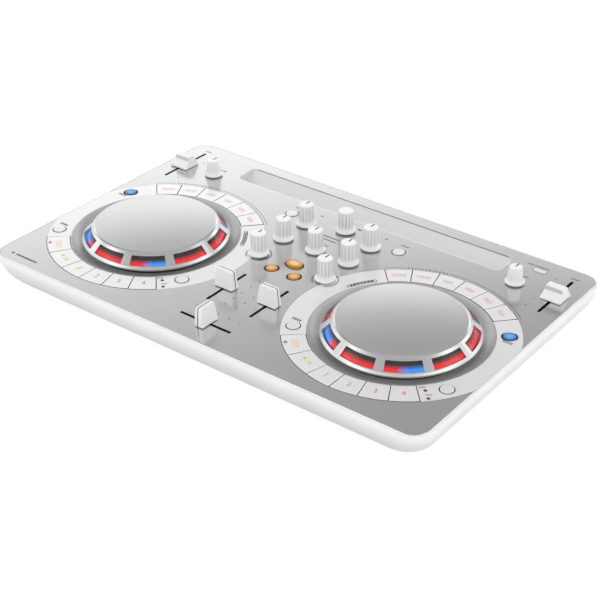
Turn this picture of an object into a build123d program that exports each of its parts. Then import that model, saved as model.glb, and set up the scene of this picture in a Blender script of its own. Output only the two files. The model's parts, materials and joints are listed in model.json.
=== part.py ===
from build123d import *

import math
import os

# A compact two-deck DJ controller, built as the pieces it comes apart into: a metal top panel, a moulded
# bottom shell, two inlaid deck rings with their pads, two jog platters over lit bowls, knobs, faders,
# buttons, the circuit boards, the feet and the case screws.
#
# Millimetres. X runs along the body, +Y to its rear, +Z up. The origin is on the ground under its middle.

# ---- body ----
PLATE_LENGTH = 388.0
PLATE_WIDTH = 242.8
PLATE_CORNER = 13.0
PLATE_THICK = 3.0
PLATE_TOP = 32.0
PLATE_UNDER = PLATE_TOP - PLATE_THICK
PLATE_EDGE_CHAMFER = 0.3
PLATE_FIT = 0.15

LIP = 2.0
BODY_LENGTH = PLATE_LENGTH + 2 * LIP
BODY_WIDTH = PLATE_WIDTH + 2 * LIP
BODY_CORNER = PLATE_CORNER + LIP
BODY_CORNER_GROWTH = 5.0
LIP_ROUND = 0.9
WALL = 2.5
FOOT_HEIGHT = 4.0
FLOOR_TOP = FOOT_HEIGHT + WALL
LEDGE_WIDTH = 2.0
LEDGE_DEPTH = 3.0

# The sides are a quarter-round: upright at the rim, then curving in under the body.
SIDE_RADIUS = 30.0
SIDE_START = PLATE_TOP - 1.0
OUTER_LEVELS = (SIDE_START, 27.0, 23.0, 19.0, 15.0, 11.0, 8.0, 5.5, FOOT_HEIGHT)
INNER_LEVELS = (PLATE_UNDER - LEDGE_DEPTH, 22.5, 19.0, 15.5, 12.0, 9.0, FLOOR_TOP)

# ---- decks ----
DECK_X = {"left": -115.0, "right": 115.0}
DECK_Y = -24.8
RING_OUTER = 84.2
RING_INNER = 66.1
RING_THICK = 2.0
RING_FLOOR = 0.5
RECESS_OUTER = 84.3
RECESS_INNER = 66.0
RECESS_Z = PLATE_TOP - RING_THICK
RING_MIDDLE = (RING_OUTER + RING_INNER) / 2

BOWL_RADIUS = 65.5
BOWL_DEPTH = 4.5
BOWL_FLAT_RADIUS = 56.0
BOWL_SKIN = 2.0
BEARING_OUTER = 9.0
BEARING_BORE = 5.4
BEARING_BOTTOM = 19.0

# ---- pads in the rings; angles in degrees from +X round each deck's centre ----
PAD_OUTER = 83.8
PAD_INNER = 66.5
PAD_THICK = 1.2
PAD_PROUD = 0.3
PAD_GAP = 0.6
PAD_EDGE = 0.2
PAD_STEM_RADIUS = 2.0
LOWER_PADS_START = 221.0
TRANSPORT_WIDTH = 17.4
PAD_WIDTH = 14.2
UPPER_PADS_START = 47.4
UPPER_PAD_COUNT = 6
CUE_PAD_COUNT = 4

# ---- buttons ----
BUTTON_RADIUS = 4.8
BUTTON_PROUD = 0.7
BUTTON_EDGE = 0.6
BUTTON_HEIGHT = 5.0
BUTTON_FLANGE = 1.4
BUTTON_FLANGE_THICK = 1.0
KEY_CLEARANCE = 0.4
STEM_BOTTOM = 24.0
BUTTON_STEM_RADIUS = 1.5

ROUND_BUTTONS = {
    "left_sync_button": (-179.5, 14.0),
    "right_sync_button": (179.0, 14.0),
    "left_vinyl_button": (-180.0, -65.3),
    "right_vinyl_button": (51.3, -65.0),
    "left_mode_button": (-52.5, -65.0),
    "right_mode_button": (178.5, -65.0),
    "left_load_button": (-51.5, 65.0),
    "right_load_button": (51.5, 65.0),
    "left_monitor_button": (-10.5, -12.0),
    "right_monitor_button": (10.5, -12.0),
}
MASTER_BUTTON = (0.0, 2.0)
MASTER_BUTTON_RADII = (7.0, 5.0)
MASTER_BUTTON_PROUD = 1.6
OVAL_BUTTON = (151.5, 105.0)
OVAL_BUTTON_SIZE = (10.0, 4.0)

# ---- knobs ----
MIXER_KNOBS = {
    "left_high_knob": (-31.0, 57.0),
    "right_high_knob": (31.0, 57.0),
    "left_low_knob": (-31.0, 28.0),
    "right_low_knob": (31.0, 28.0),
    "left_level_knob": (-31.5, -1.5),
    "right_level_knob": (31.5, -1.5),
    "master_level_knob": (0.0, 28.0),
    "browse_encoder_knob": (0.0, 67.0),
}
SMALL_KNOBS = {
    "monitor_mix_knob": (-146.0, 79.0),
    "monitor_level_knob": (145.0, 79.0),
}
KNOB_LIFT = 1.0
KNOB_RIM = 1.2
# Each profile is the underside, the skirt's foot and head, the body's foot and head and the edge of the flat
# top, as radius and height above the panel.
TALL_PROFILE = (
    (7.7, KNOB_LIFT),
    (8.0, KNOB_LIFT + 0.3),
    (8.0, KNOB_LIFT + KNOB_RIM),
    (6.15, 5.0),
    (5.85, 17.9),
    (4.75, 19.0),
)
SMALL_PROFILE = (
    (7.1, KNOB_LIFT),
    (7.4, KNOB_LIFT + 0.3),
    (7.4, KNOB_LIFT + KNOB_RIM),
    (6.0, 4.2),
    (4.9, 13.4),
    (3.9, 14.4),
)
# Flutes run between two heights above the panel, with their centres on a circle round the knob.
TALL_FLUTES = (5.4, 18.2, 6.6)
SMALL_FLUTES = (5.0, 13.0, 6.2)
FLUTE_COUNT = 14
FLUTE_RADIUS = 0.95
POINTER_WIDTH = 1.2
POINTER_DEPTH = 0.4
ENDLESS_KNOB = "browse_encoder_knob"
SHAFT_RADIUS = 3.0
SHAFT_CLEARANCE = 0.4
SHAFT_BOTTOM = 23.2

# ---- faders ----
SLOT_WIDTH = 2.4
LEVER_WIDTH = 1.6
LEVER_LENGTH = 4.0
CAP_LEVER_LENGTH = 3.2
LEVER_BOTTOM = 24.0
CHANNEL_SLOT = (20.0, -52.5, 44.0)
CROSS_SLOT = (-0.5, -98.5, 46.0)
TEMPO_SLOT = (178.5, 80.2, 51.5)
CHANNEL_CAP_Y = -52.2
CROSS_CAP_X = -0.3
TEMPO_CAP_Y = 78.5

# The blade caps are thicker on the side of the finger; both reaches are measured from the dark line.
CAP_WIDTH = 16.8
CAP_TOP_WIDTH = 14.4
CAP_TOP_CORNER = 2.0
CAP_HEIGHT = 15.0
CAP_LIFT = 0.8
CAP_FRONT_FOOT = 4.7
CAP_FRONT_HEAD = 2.6
CAP_BACK_FOOT = 3.2
CAP_BACK_HEAD = 2.2
CAP_EDGE = 0.5
CAP_LINE_WIDTH = 0.8
CAP_LINE_DEPTH = 0.4

# The tempo caps in section: a scooped ramp in front, a steep step, a flat ridge and a slope behind it.
TEMPO_CAP_WIDTH = 17.0
TEMPO_CAP_TOP_WIDTH = 13.9
TEMPO_CAP_HEIGHT = 9.7
TEMPO_CAP_LIFT = 0.5
TEMPO_CAP_EDGE = 0.5
TEMPO_CAP_FRONT = (-7.7, 1.7)
TEMPO_RAMP_MIDDLE = (-4.5, 3.9)
TEMPO_RAMP_HEAD = (-2.7, 6.3)
TEMPO_RIDGE = ((-2.0, 9.0), (-1.2, TEMPO_CAP_HEIGHT), (3.7, TEMPO_CAP_HEIGHT), (4.7, 9.1))
TEMPO_CAP_REAR = (8.4, 1.7)

# ---- tablet groove ----
GROOVE_LENGTH = 255.0
GROOVE_X = -0.5
GROOVE_FRONT = 86.3
GROOVE_REAR = 110.0
GROOVE_DEPTH = 11.0
GROOVE_FLAT = 11.0
GROOVE_STEP = 0.6
GROOVE_CORNER = 6.0
GROOVE_FOLD = 1.5
GROOVE_SKIN = 2.0

# ---- jog platters; heights are above the plate ----
PLATTER_RADIUS = 57.2
PLATTER_RIM_BOTTOM = -0.8
PLATTER_RIM_TOP = 0.7
PLATTER_SLOPE_FOOT = (56.0, 2.0)
PLATTER_SLOPE_HEAD = (47.6, 9.7)
PLATTER_EDGE = (46.3, 10.3)
PLATTER_CROWN = 11.4
PLATTER_RIM_EDGE = (0.4, 0.5)
PLATTER_LIP_WIDTH = 1.8
PLATTER_WALL = 2.4
PLATTER_INNER_FOOT = 1.0
PLATTER_UNDER_CROWN = 8.5
WINDOW_COUNT = 10
WINDOW_ANGLE = 28.6
WINDOW_BOTTOM = 2.5
WINDOW_TOP = 8.0
SPINDLE_RADIUS = 5.0
HUB_RADIUS = 12.0
HUB_BOTTOM = 1.0
SPINDLE_BOTTOM = 16.0

# ---- light guides under the platters ----
GUIDE_INNER = 44.0
GUIDE_SLOPE_FOOT = (52.9, 0.6)
GUIDE_SLOPE_HEAD = (49.6, 3.8)

# ---- inside ----
BOARD_Z = 20.0
BOARD_THICK = 1.6
BOARD_TOP = BOARD_Z + BOARD_THICK
BOARD_HALF_LENGTH = 185.0
BOARD_FRONT = -106.0
BOARD_REAR = 83.4
BOARD_TAB_X = 146.0
BOARD_TAB_REAR = 112.0
SWITCH_SIZE = 6.0
SWITCH_HEIGHT = 1.5
POT_SIZE = 11.0
POT_HEIGHT = 6.0
SHAFT_END_GAP = 0.6
LEVER_END_GAP = 0.8
BOARD_POST_GAP = 0.8
BOARD_BEARING_GAP = 1.5
FADER_BODY_WIDTH = 12.0
FADER_BODY_HEIGHT = 6.0
FADER_BODY_MARGIN = 9.0
FADER_CHANNEL_WIDTH = 3.6

SCREW_PLACES = [
    (side * x, y) for x, y in ((168, -96), (42, -101), (158, 56), (80, 76), (140, 97)) for side in (-1, 1)
]
POST_RADIUS = 4.0
POST_BOTTOM = 12.0
CUP_RADIUS = 5.5
SCREW_HEAD_TOP = 9.0
SCREW_HEAD_RADIUS = 3.0
SCREW_HEAD_HEIGHT = 2.2
SCREW_RADIUS = 1.5
SCREW_TIP = 19.0
SCREW_TIP_GAP = 1.0
SCREW_HOLE_GAP = 0.2
SCREW_THREAD_GAP = 0.1
SCREW_CROSS = (3.4, 0.8)
SCREW_CROSS_DEPTH = 1.2
FOOT_PLACES = (300.0, 170.0)
FOOT_RADIUS = 9.0
FOOT_EDGE = 0.8

# ---- rear socket bay ----
BAY_LENGTH = 119.0
BAY_FACE_Y = 112.0
BAY_BOTTOM = 9.5
BAY_TOP = 25.5
BAY_WALL = 2.5
BAY_ROOF = 1.5
IO_BOARD_Z = 9.0
IO_BOARD_Y = 96.2
IO_BOARD_WIDTH = 24.0
SOCKET_GAP = 0.1
SOCKET_Z = 15.7
PHONO_PLACES = (18.0, 36.0)
PHONO_BODY = (11.0, 7.6, 9.9)
PHONO_RADIUS = 4.15
PHONO_INSERT_RADIUS = 3.05
PHONO_SLEEVE = 0.5
PHONO_PIN_HOLE = 1.6
PHONO_DEPTH = 7.0
PHONO_END_Y = 117.5
USB_X = -36.0
USB_SIZE = (12.0, 9.8)
USB_LENGTH = 8.0
USB_MOUTH = (8.4, 7.6)
USB_TONGUE = (5.6, 3.1)
USB_DEPTH = 8.5
JACK_X = -6.0
JACK_Z = 14.8
JACK_BORE = 3.2
JACK_BODY = (13.0, 8.0)
JACK_BODY_LENGTH = 25.0
JACK_COLLAR = 5.0
JACK_END_Y = 114.0
JACK_DEPTH = 28.0

os.makedirs("parts", exist_ok=True)


def save(builder, name):
    """Label a finished piece and write it to its own file."""
    builder.part.label = name
    export_step(builder.part, f"parts/{name}.step")


def side_inset(level, skin=0.0):
    """How far in from the widest outline the side stands at a height, or a surface one skin inside it."""
    radius = SIDE_RADIUS - skin
    return SIDE_RADIUS - math.sqrt(radius**2 - (SIDE_START - level) ** 2)


def side_corner(level):
    """Corner radius of the body's outline at a height: it opens out towards the floor."""
    return BODY_CORNER + BODY_CORNER_GROWTH * (SIDE_START - level) / (SIDE_START - FOOT_HEIGHT)


def deck_plane(deck_x, z):
    """A level plane over a deck's centre."""
    return Plane(origin=(deck_x, DECK_Y, z), z_dir=(0, 0, 1))


def deck_section(deck_x):
    """An upright plane through a deck's centre: its x is the radius and its y is the height."""
    return Plane(origin=(deck_x, DECK_Y, 0), x_dir=(1, 0, 0), z_dir=(0, -1, 0))


def deck_axis(deck_x):
    """The upright axis that a platter turns about."""
    return Axis((deck_x, DECK_Y, 0), (0, 0, 1))


def ring_sector(inner, outer, start, end):
    """A flat ring sector between two radii and two angles."""
    with BuildSketch() as sector:
        with BuildLine():
            outer_arc = CenterArc((0, 0), outer, start, end - start)
            inner_arc = CenterArc((0, 0), inner, start, end - start)
            Line(outer_arc @ 0, inner_arc @ 0)
            Line(outer_arc @ 1, inner_arc @ 1)
        make_face()
    return sector.sketch


def polar(radius, angle):
    """A point from its radius and its angle in degrees."""
    return radius * math.cos(math.radians(angle)), radius * math.sin(math.radians(angle))


def deck_pads():
    """Each pad of one deck as its name and its two boundary angles."""
    pads = []
    angle = LOWER_PADS_START
    for name in ("cue", "play"):
        pads.append((f"{name}_pad", angle, angle + TRANSPORT_WIDTH))
        angle += TRANSPORT_WIDTH
    for number in range(1, CUE_PAD_COUNT + 1):
        pads.append((f"hot_cue_pad_{number}", angle, angle + PAD_WIDTH))
        angle += PAD_WIDTH
    for number in range(1, UPPER_PAD_COUNT + 1):
        start = UPPER_PADS_START + (UPPER_PAD_COUNT - number) * PAD_WIDTH
        pads.append((f"effect_pad_{number}", start, start + PAD_WIDTH))
    return pads


PADS = deck_pads()
LOWER_PADS_END = LOWER_PADS_START + 2 * TRANSPORT_WIDTH + CUE_PAD_COUNT * PAD_WIDTH
UPPER_PADS_END = UPPER_PADS_START + UPPER_PAD_COUNT * PAD_WIDTH
GAP_ANGLE = math.degrees(PAD_GAP / 2 / RING_MIDDLE)
PAD_CENTRES = [
    (deck_x + polar(RING_MIDDLE, (start + end) / 2)[0], DECK_Y + polar(RING_MIDDLE, (start + end) / 2)[1])
    for deck_x in DECK_X.values()
    for _, start, end in PADS
]
KNOB_PLACES = list(MIXER_KNOBS.values()) + list(SMALL_KNOBS.values())
SLOTS = [
    (-CHANNEL_SLOT[0], CHANNEL_SLOT[1], SLOT_WIDTH, CHANNEL_SLOT[2]),
    (CHANNEL_SLOT[0], CHANNEL_SLOT[1], SLOT_WIDTH, CHANNEL_SLOT[2]),
    (CROSS_SLOT[0], CROSS_SLOT[1], CROSS_SLOT[2], SLOT_WIDTH),
    (-TEMPO_SLOT[0], TEMPO_SLOT[1], SLOT_WIDTH, TEMPO_SLOT[2]),
    (TEMPO_SLOT[0], TEMPO_SLOT[1], SLOT_WIDTH, TEMPO_SLOT[2]),
]


# ---------------------------------------------------------------- bottom shell
with BuildPart() as shell_hollow:
    for level in INNER_LEVELS:
        inset = side_inset(level, WALL)
        with BuildSketch(Plane.XY.offset(level)):
            RectangleRounded(
                BODY_LENGTH - 2 * inset, BODY_WIDTH - 2 * inset, side_corner(level) - WALL
            )
    loft()
    with BuildSketch(Plane.XY.offset(PLATE_UNDER - LEDGE_DEPTH)):
        RectangleRounded(
            PLATE_LENGTH - 2 * LEDGE_WIDTH, PLATE_WIDTH - 2 * LEDGE_WIDTH, PLATE_CORNER - LEDGE_WIDTH
        )
    extrude(amount=LEDGE_DEPTH)
    # The socket bay stands into the hollow, and so do the cups that hold the screw heads.
    with BuildSketch(Plane.XY.offset(FLOOR_TOP)):
        with Locations((0, (BAY_FACE_Y - BAY_WALL + BODY_WIDTH / 2) / 2)):
            Rectangle(BAY_LENGTH + 2 * BAY_WALL, BODY_WIDTH / 2 - BAY_FACE_Y + BAY_WALL)
    extrude(amount=BAY_TOP + BAY_ROOF - FLOOR_TOP, mode=Mode.SUBTRACT)
    with BuildSketch(Plane.XY.offset(FLOOR_TOP)):
        with Locations(*SCREW_PLACES):
            Circle(CUP_RADIUS)
    extrude(amount=POST_BOTTOM - FLOOR_TOP, mode=Mode.SUBTRACT)

with BuildPart() as bottom_shell:
    with BuildSketch(Plane.XY.offset(SIDE_START)):
        RectangleRounded(BODY_LENGTH, BODY_WIDTH, BODY_CORNER)
    extrude(amount=PLATE_TOP - SIDE_START)
    fillet(bottom_shell.faces().sort_by(Axis.Z)[-1].edges(), radius=LIP_ROUND)
    for level in OUTER_LEVELS:
        inset = side_inset(level)
        with BuildSketch(Plane.XY.offset(level)):
            RectangleRounded(BODY_LENGTH - 2 * inset, BODY_WIDTH - 2 * inset, side_corner(level))
    loft()
    add(shell_hollow.part, mode=Mode.SUBTRACT)
    # Seat for the top panel
    with BuildSketch(Plane.XY.offset(PLATE_UNDER)):
        RectangleRounded(
            PLATE_LENGTH + 2 * PLATE_FIT, PLATE_WIDTH + 2 * PLATE_FIT, PLATE_CORNER + PLATE_FIT
        )
    extrude(amount=PLATE_THICK, mode=Mode.SUBTRACT)
    # Open side of the socket bay
    with BuildSketch(Plane.XY.offset(BAY_BOTTOM)):
        with Locations((0, BAY_FACE_Y)):
            Rectangle(BAY_LENGTH, BODY_WIDTH / 2, align=(Align.CENTER, Align.MIN))
    extrude(amount=BAY_TOP - BAY_BOTTOM, mode=Mode.SUBTRACT)
    # Holes in the bay's wall for the sockets
    with BuildSketch(Plane.XZ.offset(-BAY_FACE_Y)):
        with Locations(*[(x, SOCKET_Z) for x in PHONO_PLACES]):
            Circle(PHONO_RADIUS + KEY_CLEARANCE)
        with Locations((JACK_X, JACK_Z)):
            Circle(JACK_COLLAR + KEY_CLEARANCE)
        with Locations((USB_X, SOCKET_Z)):
            Rectangle(USB_SIZE[0] + KEY_CLEARANCE, USB_SIZE[1] + KEY_CLEARANCE)
    extrude(amount=BAY_WALL, mode=Mode.SUBTRACT)
    # Screw holes, each with a deep counterbore in the floor
    with Locations(Location((0, 0, FOOT_HEIGHT), (180, 0, 0))):
        with Locations(*[(x, -y) for x, y in SCREW_PLACES]):
            CounterBoreHole(
                radius=SCREW_RADIUS + SCREW_HOLE_GAP,
                counter_bore_radius=SCREW_HEAD_RADIUS + KEY_CLEARANCE,
                counter_bore_depth=SCREW_HEAD_TOP - FOOT_HEIGHT,
                depth=POST_BOTTOM - FOOT_HEIGHT,
            )
save(bottom_shell, "bottom_shell")


# ---------------------------------------------------------------- top panel
GROOVE_SECTION = Plane(origin=(GROOVE_X, 0, 0), x_dir=(0, 1, 0), z_dir=(1, 0, 0))
GROOVE_BOTTOM = PLATE_TOP - GROOVE_DEPTH
GROOVE_SLOPE_RUN = GROOVE_REAR - GROOVE_FRONT - GROOVE_FLAT
GROOVE_SLOPE_RISE = GROOVE_DEPTH - GROOVE_STEP

with BuildPart() as groove_space:
    # Upright front wall, narrow flat floor and a long slope up to a small step at the rear edge
    with BuildSketch(GROOVE_SECTION):
        with BuildLine():
            FilletPolyline(
                (GROOVE_FRONT, PLATE_TOP + 1),
                (GROOVE_FRONT, GROOVE_BOTTOM),
                (GROOVE_FRONT + GROOVE_FLAT, GROOVE_BOTTOM),
                (GROOVE_REAR, PLATE_TOP - GROOVE_STEP),
                radius=GROOVE_FOLD,
            )
            Polyline(
                (GROOVE_REAR, PLATE_TOP - GROOVE_STEP),
                (GROOVE_REAR, PLATE_TOP + 1),
                (GROOVE_FRONT, PLATE_TOP + 1),
            )
        make_face()
    extrude(amount=GROOVE_LENGTH / 2, both=True)
    with BuildSketch(Plane.XY.offset(GROOVE_BOTTOM)):
        with Locations((GROOVE_X, (GROOVE_FRONT + GROOVE_REAR) / 2)):
            RectangleRounded(GROOVE_LENGTH, GROOVE_REAR - GROOVE_FRONT, GROOVE_CORNER)
    extrude(amount=GROOVE_DEPTH + 1, mode=Mode.INTERSECT)

with BuildPart() as top_panel:
    with BuildSketch(Plane.XY.offset(PLATE_UNDER)):
        RectangleRounded(PLATE_LENGTH, PLATE_WIDTH, PLATE_CORNER)
    extrude(amount=PLATE_THICK)
    chamfer(top_panel.faces().sort_by(Axis.Z)[-1].edges(), length=PLATE_EDGE_CHAMFER)
    # Skin under the tablet groove
    slope_shift = GROOVE_SKIN * math.hypot(GROOVE_SLOPE_RUN, GROOVE_SLOPE_RISE) / GROOVE_SLOPE_RISE
    slope_rate = GROOVE_SLOPE_RUN / GROOVE_SLOPE_RISE
    slope_foot = GROOVE_FRONT + GROOVE_FLAT + slope_shift - slope_rate * GROOVE_SKIN
    slope_head = slope_foot + slope_rate * (PLATE_UNDER - GROOVE_BOTTOM + GROOVE_SKIN)
    with BuildSketch(GROOVE_SECTION):
        with BuildLine():
            Polyline(
                (GROOVE_FRONT - GROOVE_SKIN, PLATE_UNDER),
                (GROOVE_FRONT - GROOVE_SKIN, GROOVE_BOTTOM - GROOVE_SKIN),
                (slope_foot, GROOVE_BOTTOM - GROOVE_SKIN),
                (slope_head, PLATE_UNDER),
                close=True,
            )
        make_face()
    extrude(amount=GROOVE_LENGTH / 2 + GROOVE_SKIN, both=True)
    add(groove_space.part, mode=Mode.SUBTRACT)
    # Screw posts
    with BuildSketch(Plane.XY.offset(POST_BOTTOM)):
        with Locations(*SCREW_PLACES):
            Circle(POST_RADIUS)
    extrude(amount=PLATE_UNDER - POST_BOTTOM)
    with BuildSketch(Plane.XY.offset(POST_BOTTOM)):
        with Locations(*SCREW_PLACES):
            Circle(SCREW_RADIUS + SCREW_THREAD_GAP)
    extrude(amount=SCREW_TIP - POST_BOTTOM + SCREW_TIP_GAP, mode=Mode.SUBTRACT)
    for deck_x in DECK_X.values():
        # Skin of the dished bowl, with the platter's bearing tube under it
        with BuildSketch(deck_section(deck_x)):
            with BuildLine():
                Polyline(
                    (BEARING_BORE, PLATE_UNDER),
                    (BEARING_BORE, BEARING_BOTTOM),
                    (BEARING_OUTER, BEARING_BOTTOM),
                    (BEARING_OUTER, PLATE_TOP - BOWL_DEPTH - BOWL_SKIN),
                    (BOWL_FLAT_RADIUS + 1, PLATE_TOP - BOWL_DEPTH - BOWL_SKIN),
                    (BOWL_RADIUS, PLATE_UNDER),
                    close=True,
                )
            make_face()
        revolve(axis=deck_axis(deck_x))
        # The dish itself
        with BuildSketch(deck_section(deck_x)):
            with BuildLine():
                dish = TangentArc(
                    (BOWL_FLAT_RADIUS, PLATE_TOP - BOWL_DEPTH), (BOWL_RADIUS, PLATE_TOP), tangent=(1, 0)
                )
                Polyline(
                    dish @ 1,
                    (BOWL_RADIUS, PLATE_TOP + 1),
                    (0, PLATE_TOP + 1),
                    (0, PLATE_TOP - BOWL_DEPTH),
                    dish @ 0,
                )
            make_face()
        revolve(axis=deck_axis(deck_x), mode=Mode.SUBTRACT)
        with BuildSketch(deck_plane(deck_x, BEARING_BOTTOM)):
            Circle(BEARING_BORE)
        extrude(amount=PLATE_TOP - BEARING_BOTTOM, mode=Mode.SUBTRACT)
        # Recess for the deck ring
        with BuildSketch(deck_plane(deck_x, RECESS_Z)):
            Circle(RECESS_OUTER)
            Circle(RECESS_INNER, mode=Mode.SUBTRACT)
        extrude(amount=RING_THICK, mode=Mode.SUBTRACT)
    # Openings for pad stems, knob shafts, buttons and fader levers
    with BuildSketch(Plane.XY.offset(PLATE_UNDER)):
        with Locations(*PAD_CENTRES):
            Circle(PAD_STEM_RADIUS + KEY_CLEARANCE)
        with Locations(*KNOB_PLACES):
            Circle(SHAFT_RADIUS + SHAFT_CLEARANCE)
        with Locations(*ROUND_BUTTONS.values()):
            Circle(BUTTON_RADIUS + KEY_CLEARANCE)
        with Locations(MASTER_BUTTON):
            Ellipse(*[radius + KEY_CLEARANCE for radius in MASTER_BUTTON_RADII])
        with Locations(OVAL_BUTTON):
            SlotOverall(OVAL_BUTTON_SIZE[0] + 2 * KEY_CLEARANCE, OVAL_BUTTON_SIZE[1] + 2 * KEY_CLEARANCE)
        for x, y, length, width in SLOTS:
            with Locations((x, y)):
                Rectangle(length, width)
    extrude(amount=PLATE_THICK, mode=Mode.SUBTRACT)
save(top_panel, "top_panel")


# ---------------------------------------------------------------- deck rings
with BuildPart() as deck_rings:
    for deck_x in DECK_X.values():
        with BuildSketch(deck_plane(deck_x, RECESS_Z)):
            Circle(RING_OUTER)
            Circle(RING_INNER, mode=Mode.SUBTRACT)
            with Locations((-deck_x, -DECK_Y)):
                Rectangle(PLATE_LENGTH, PLATE_WIDTH, mode=Mode.INTERSECT)
        extrude(amount=RING_THICK)
        # The pads lie in two pockets with a thin floor
        with BuildSketch(deck_plane(deck_x, RECESS_Z + RING_FLOOR)):
            for start, end in (
                (LOWER_PADS_START, LOWER_PADS_END),
                (UPPER_PADS_START, UPPER_PADS_END),
            ):
                add(ring_sector(RING_INNER - 1, RING_OUTER + 1, start - GAP_ANGLE, end + GAP_ANGLE))
        extrude(amount=RING_THICK, mode=Mode.SUBTRACT)
    with BuildSketch(Plane.XY.offset(RECESS_Z)):
        with Locations(*PAD_CENTRES):
            Circle(PAD_STEM_RADIUS + KEY_CLEARANCE)
        with Locations(*ROUND_BUTTONS.values()):
            Circle(BUTTON_RADIUS + KEY_CLEARANCE)
        with Locations(*KNOB_PLACES):
            Circle(SHAFT_RADIUS + SHAFT_CLEARANCE)
    extrude(amount=RING_THICK, mode=Mode.SUBTRACT)
save(deck_rings, "deck_rings")


# ---------------------------------------------------------------- pads
def make_pad(name, deck_x, start, end):
    """A ring-sector key with a rounded top edge, on a stem that reaches its switch."""
    top = PLATE_TOP + PAD_PROUD
    stem = polar(RING_MIDDLE, (start + end) / 2)
    with BuildPart() as pad:
        with BuildSketch(deck_plane(deck_x, top - PAD_THICK)):
            add(ring_sector(PAD_INNER, PAD_OUTER, start + GAP_ANGLE, end - GAP_ANGLE))
        extrude(amount=PAD_THICK)
        chamfer(pad.faces().sort_by(Axis.Z)[-1].edges(), length=PAD_EDGE)
        with BuildSketch(deck_plane(deck_x, STEM_BOTTOM)):
            with Locations(stem):
                Circle(PAD_STEM_RADIUS)
        extrude(amount=top - PAD_THICK - STEM_BOTTOM)
    save(pad, name)


for side, deck_x in DECK_X.items():
    for pad_name, start, end in PADS:
        make_pad(f"{side}_{pad_name}", deck_x, start, end)


# ---------------------------------------------------------------- buttons
def make_button(name, place, outline, flange_outline, proud):
    """A plunger: a rounded cap through the panel, a flange that keeps it in, and a stem to its switch."""
    cap_bottom = PLATE_TOP + BUTTON_PROUD - BUTTON_HEIGHT
    flange_bottom = cap_bottom - BUTTON_FLANGE_THICK
    with BuildPart() as button:
        with BuildSketch(Plane((*place, cap_bottom))):
            add(outline)
        extrude(amount=PLATE_TOP + proud - cap_bottom)
        fillet(button.faces().sort_by(Axis.Z)[-1].edges(), radius=min(BUTTON_EDGE, proud * 0.75))
        with BuildSketch(Plane((*place, flange_bottom))):
            add(flange_outline)
        extrude(amount=BUTTON_FLANGE_THICK)
        with BuildSketch(Plane((*place, STEM_BOTTOM))):
            Circle(BUTTON_STEM_RADIUS)
        extrude(amount=flange_bottom - STEM_BOTTOM)
    save(button, name)


with BuildSketch() as round_outline:
    Circle(BUTTON_RADIUS)
with BuildSketch() as round_flange:
    Circle(BUTTON_RADIUS + BUTTON_FLANGE)
for name, place in ROUND_BUTTONS.items():
    make_button(name, place, round_outline.sketch, round_flange.sketch, BUTTON_PROUD)

with BuildSketch() as master_outline:
    Ellipse(*MASTER_BUTTON_RADII)
with BuildSketch() as master_flange:
    Ellipse(*[radius + BUTTON_FLANGE for radius in MASTER_BUTTON_RADII])
make_button(
    "master_monitor_button", MASTER_BUTTON, master_outline.sketch, master_flange.sketch, MASTER_BUTTON_PROUD
)

with BuildSketch() as oval_outline:
    SlotOverall(*OVAL_BUTTON_SIZE)
with BuildSketch() as oval_flange:
    SlotOverall(*[size + 2 * BUTTON_FLANGE for size in OVAL_BUTTON_SIZE])
make_button("automix_button", OVAL_BUTTON, oval_outline.sketch, oval_flange.sketch, BUTTON_PROUD)


# ---------------------------------------------------------------- knobs
def make_knob(name, place, profile, flutes):
    """A fluted knob with its shaft in one piece, and a pointer groove from the middle of its top to the rear."""
    x, y = place
    with BuildPart() as knob:
        with BuildSketch(Plane(origin=(x, y, PLATE_TOP), x_dir=(1, 0, 0), z_dir=(0, -1, 0))):
            with BuildLine():
                skirt_head, body_foot, body_head = profile[2], profile[3], profile[4]
                Polyline((0, profile[0][1]), profile[0], profile[1], skirt_head)
                flare = TangentArc(body_foot, skirt_head, tangent=(0.02, -1))
                Line(body_foot, body_head)
                crown = TangentArc(body_head, profile[5], tangent=(-0.03, 1))
                Polyline(crown @ 1, (0, profile[5][1]), (0, profile[0][1]))
            make_face()
        revolve(axis=Axis((x, y, 0), (0, 0, 1)))
        flute_bottom, flute_top, flute_place = flutes
        with BuildSketch(Plane((x, y, PLATE_TOP + flute_bottom))):
            with PolarLocations(flute_place, FLUTE_COUNT):
                Circle(FLUTE_RADIUS)
        extrude(amount=flute_top - flute_bottom, mode=Mode.SUBTRACT)
        if name != ENDLESS_KNOB:
            with BuildSketch(Plane((x, y, PLATE_TOP + profile[5][1]))):
                Rectangle(POINTER_WIDTH, body_foot[0], align=(Align.CENTER, Align.MIN))
            extrude(amount=-POINTER_DEPTH, mode=Mode.SUBTRACT)
        with BuildSketch(Plane((x, y, SHAFT_BOTTOM))):
            Circle(SHAFT_RADIUS)
        extrude(amount=PLATE_TOP + KNOB_LIFT - SHAFT_BOTTOM)
    save(knob, name)


for name, place in MIXER_KNOBS.items():
    make_knob(name, place, TALL_PROFILE, TALL_FLUTES)
for name, place in SMALL_KNOBS.items():
    make_knob(name, place, SMALL_PROFILE, SMALL_FLUTES)


# ---------------------------------------------------------------- fader caps
def cap_outline(inset=0.0):
    """A blade cap seen along its travel, or a shape one inset smaller: narrower and rounded at its top."""
    foot = CAP_WIDTH / 2 - inset
    head = CAP_TOP_WIDTH / 2 - inset
    with BuildSketch() as outline:
        with BuildLine():
            sides = FilletPolyline(
                (-foot, CAP_LIFT), (-head, CAP_HEIGHT - inset), (head, CAP_HEIGHT - inset), (foot, CAP_LIFT),
                radius=CAP_TOP_CORNER - inset,
            )
            Line(sides @ 1, sides @ 0)
        make_face()
    return outline.sketch


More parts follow.
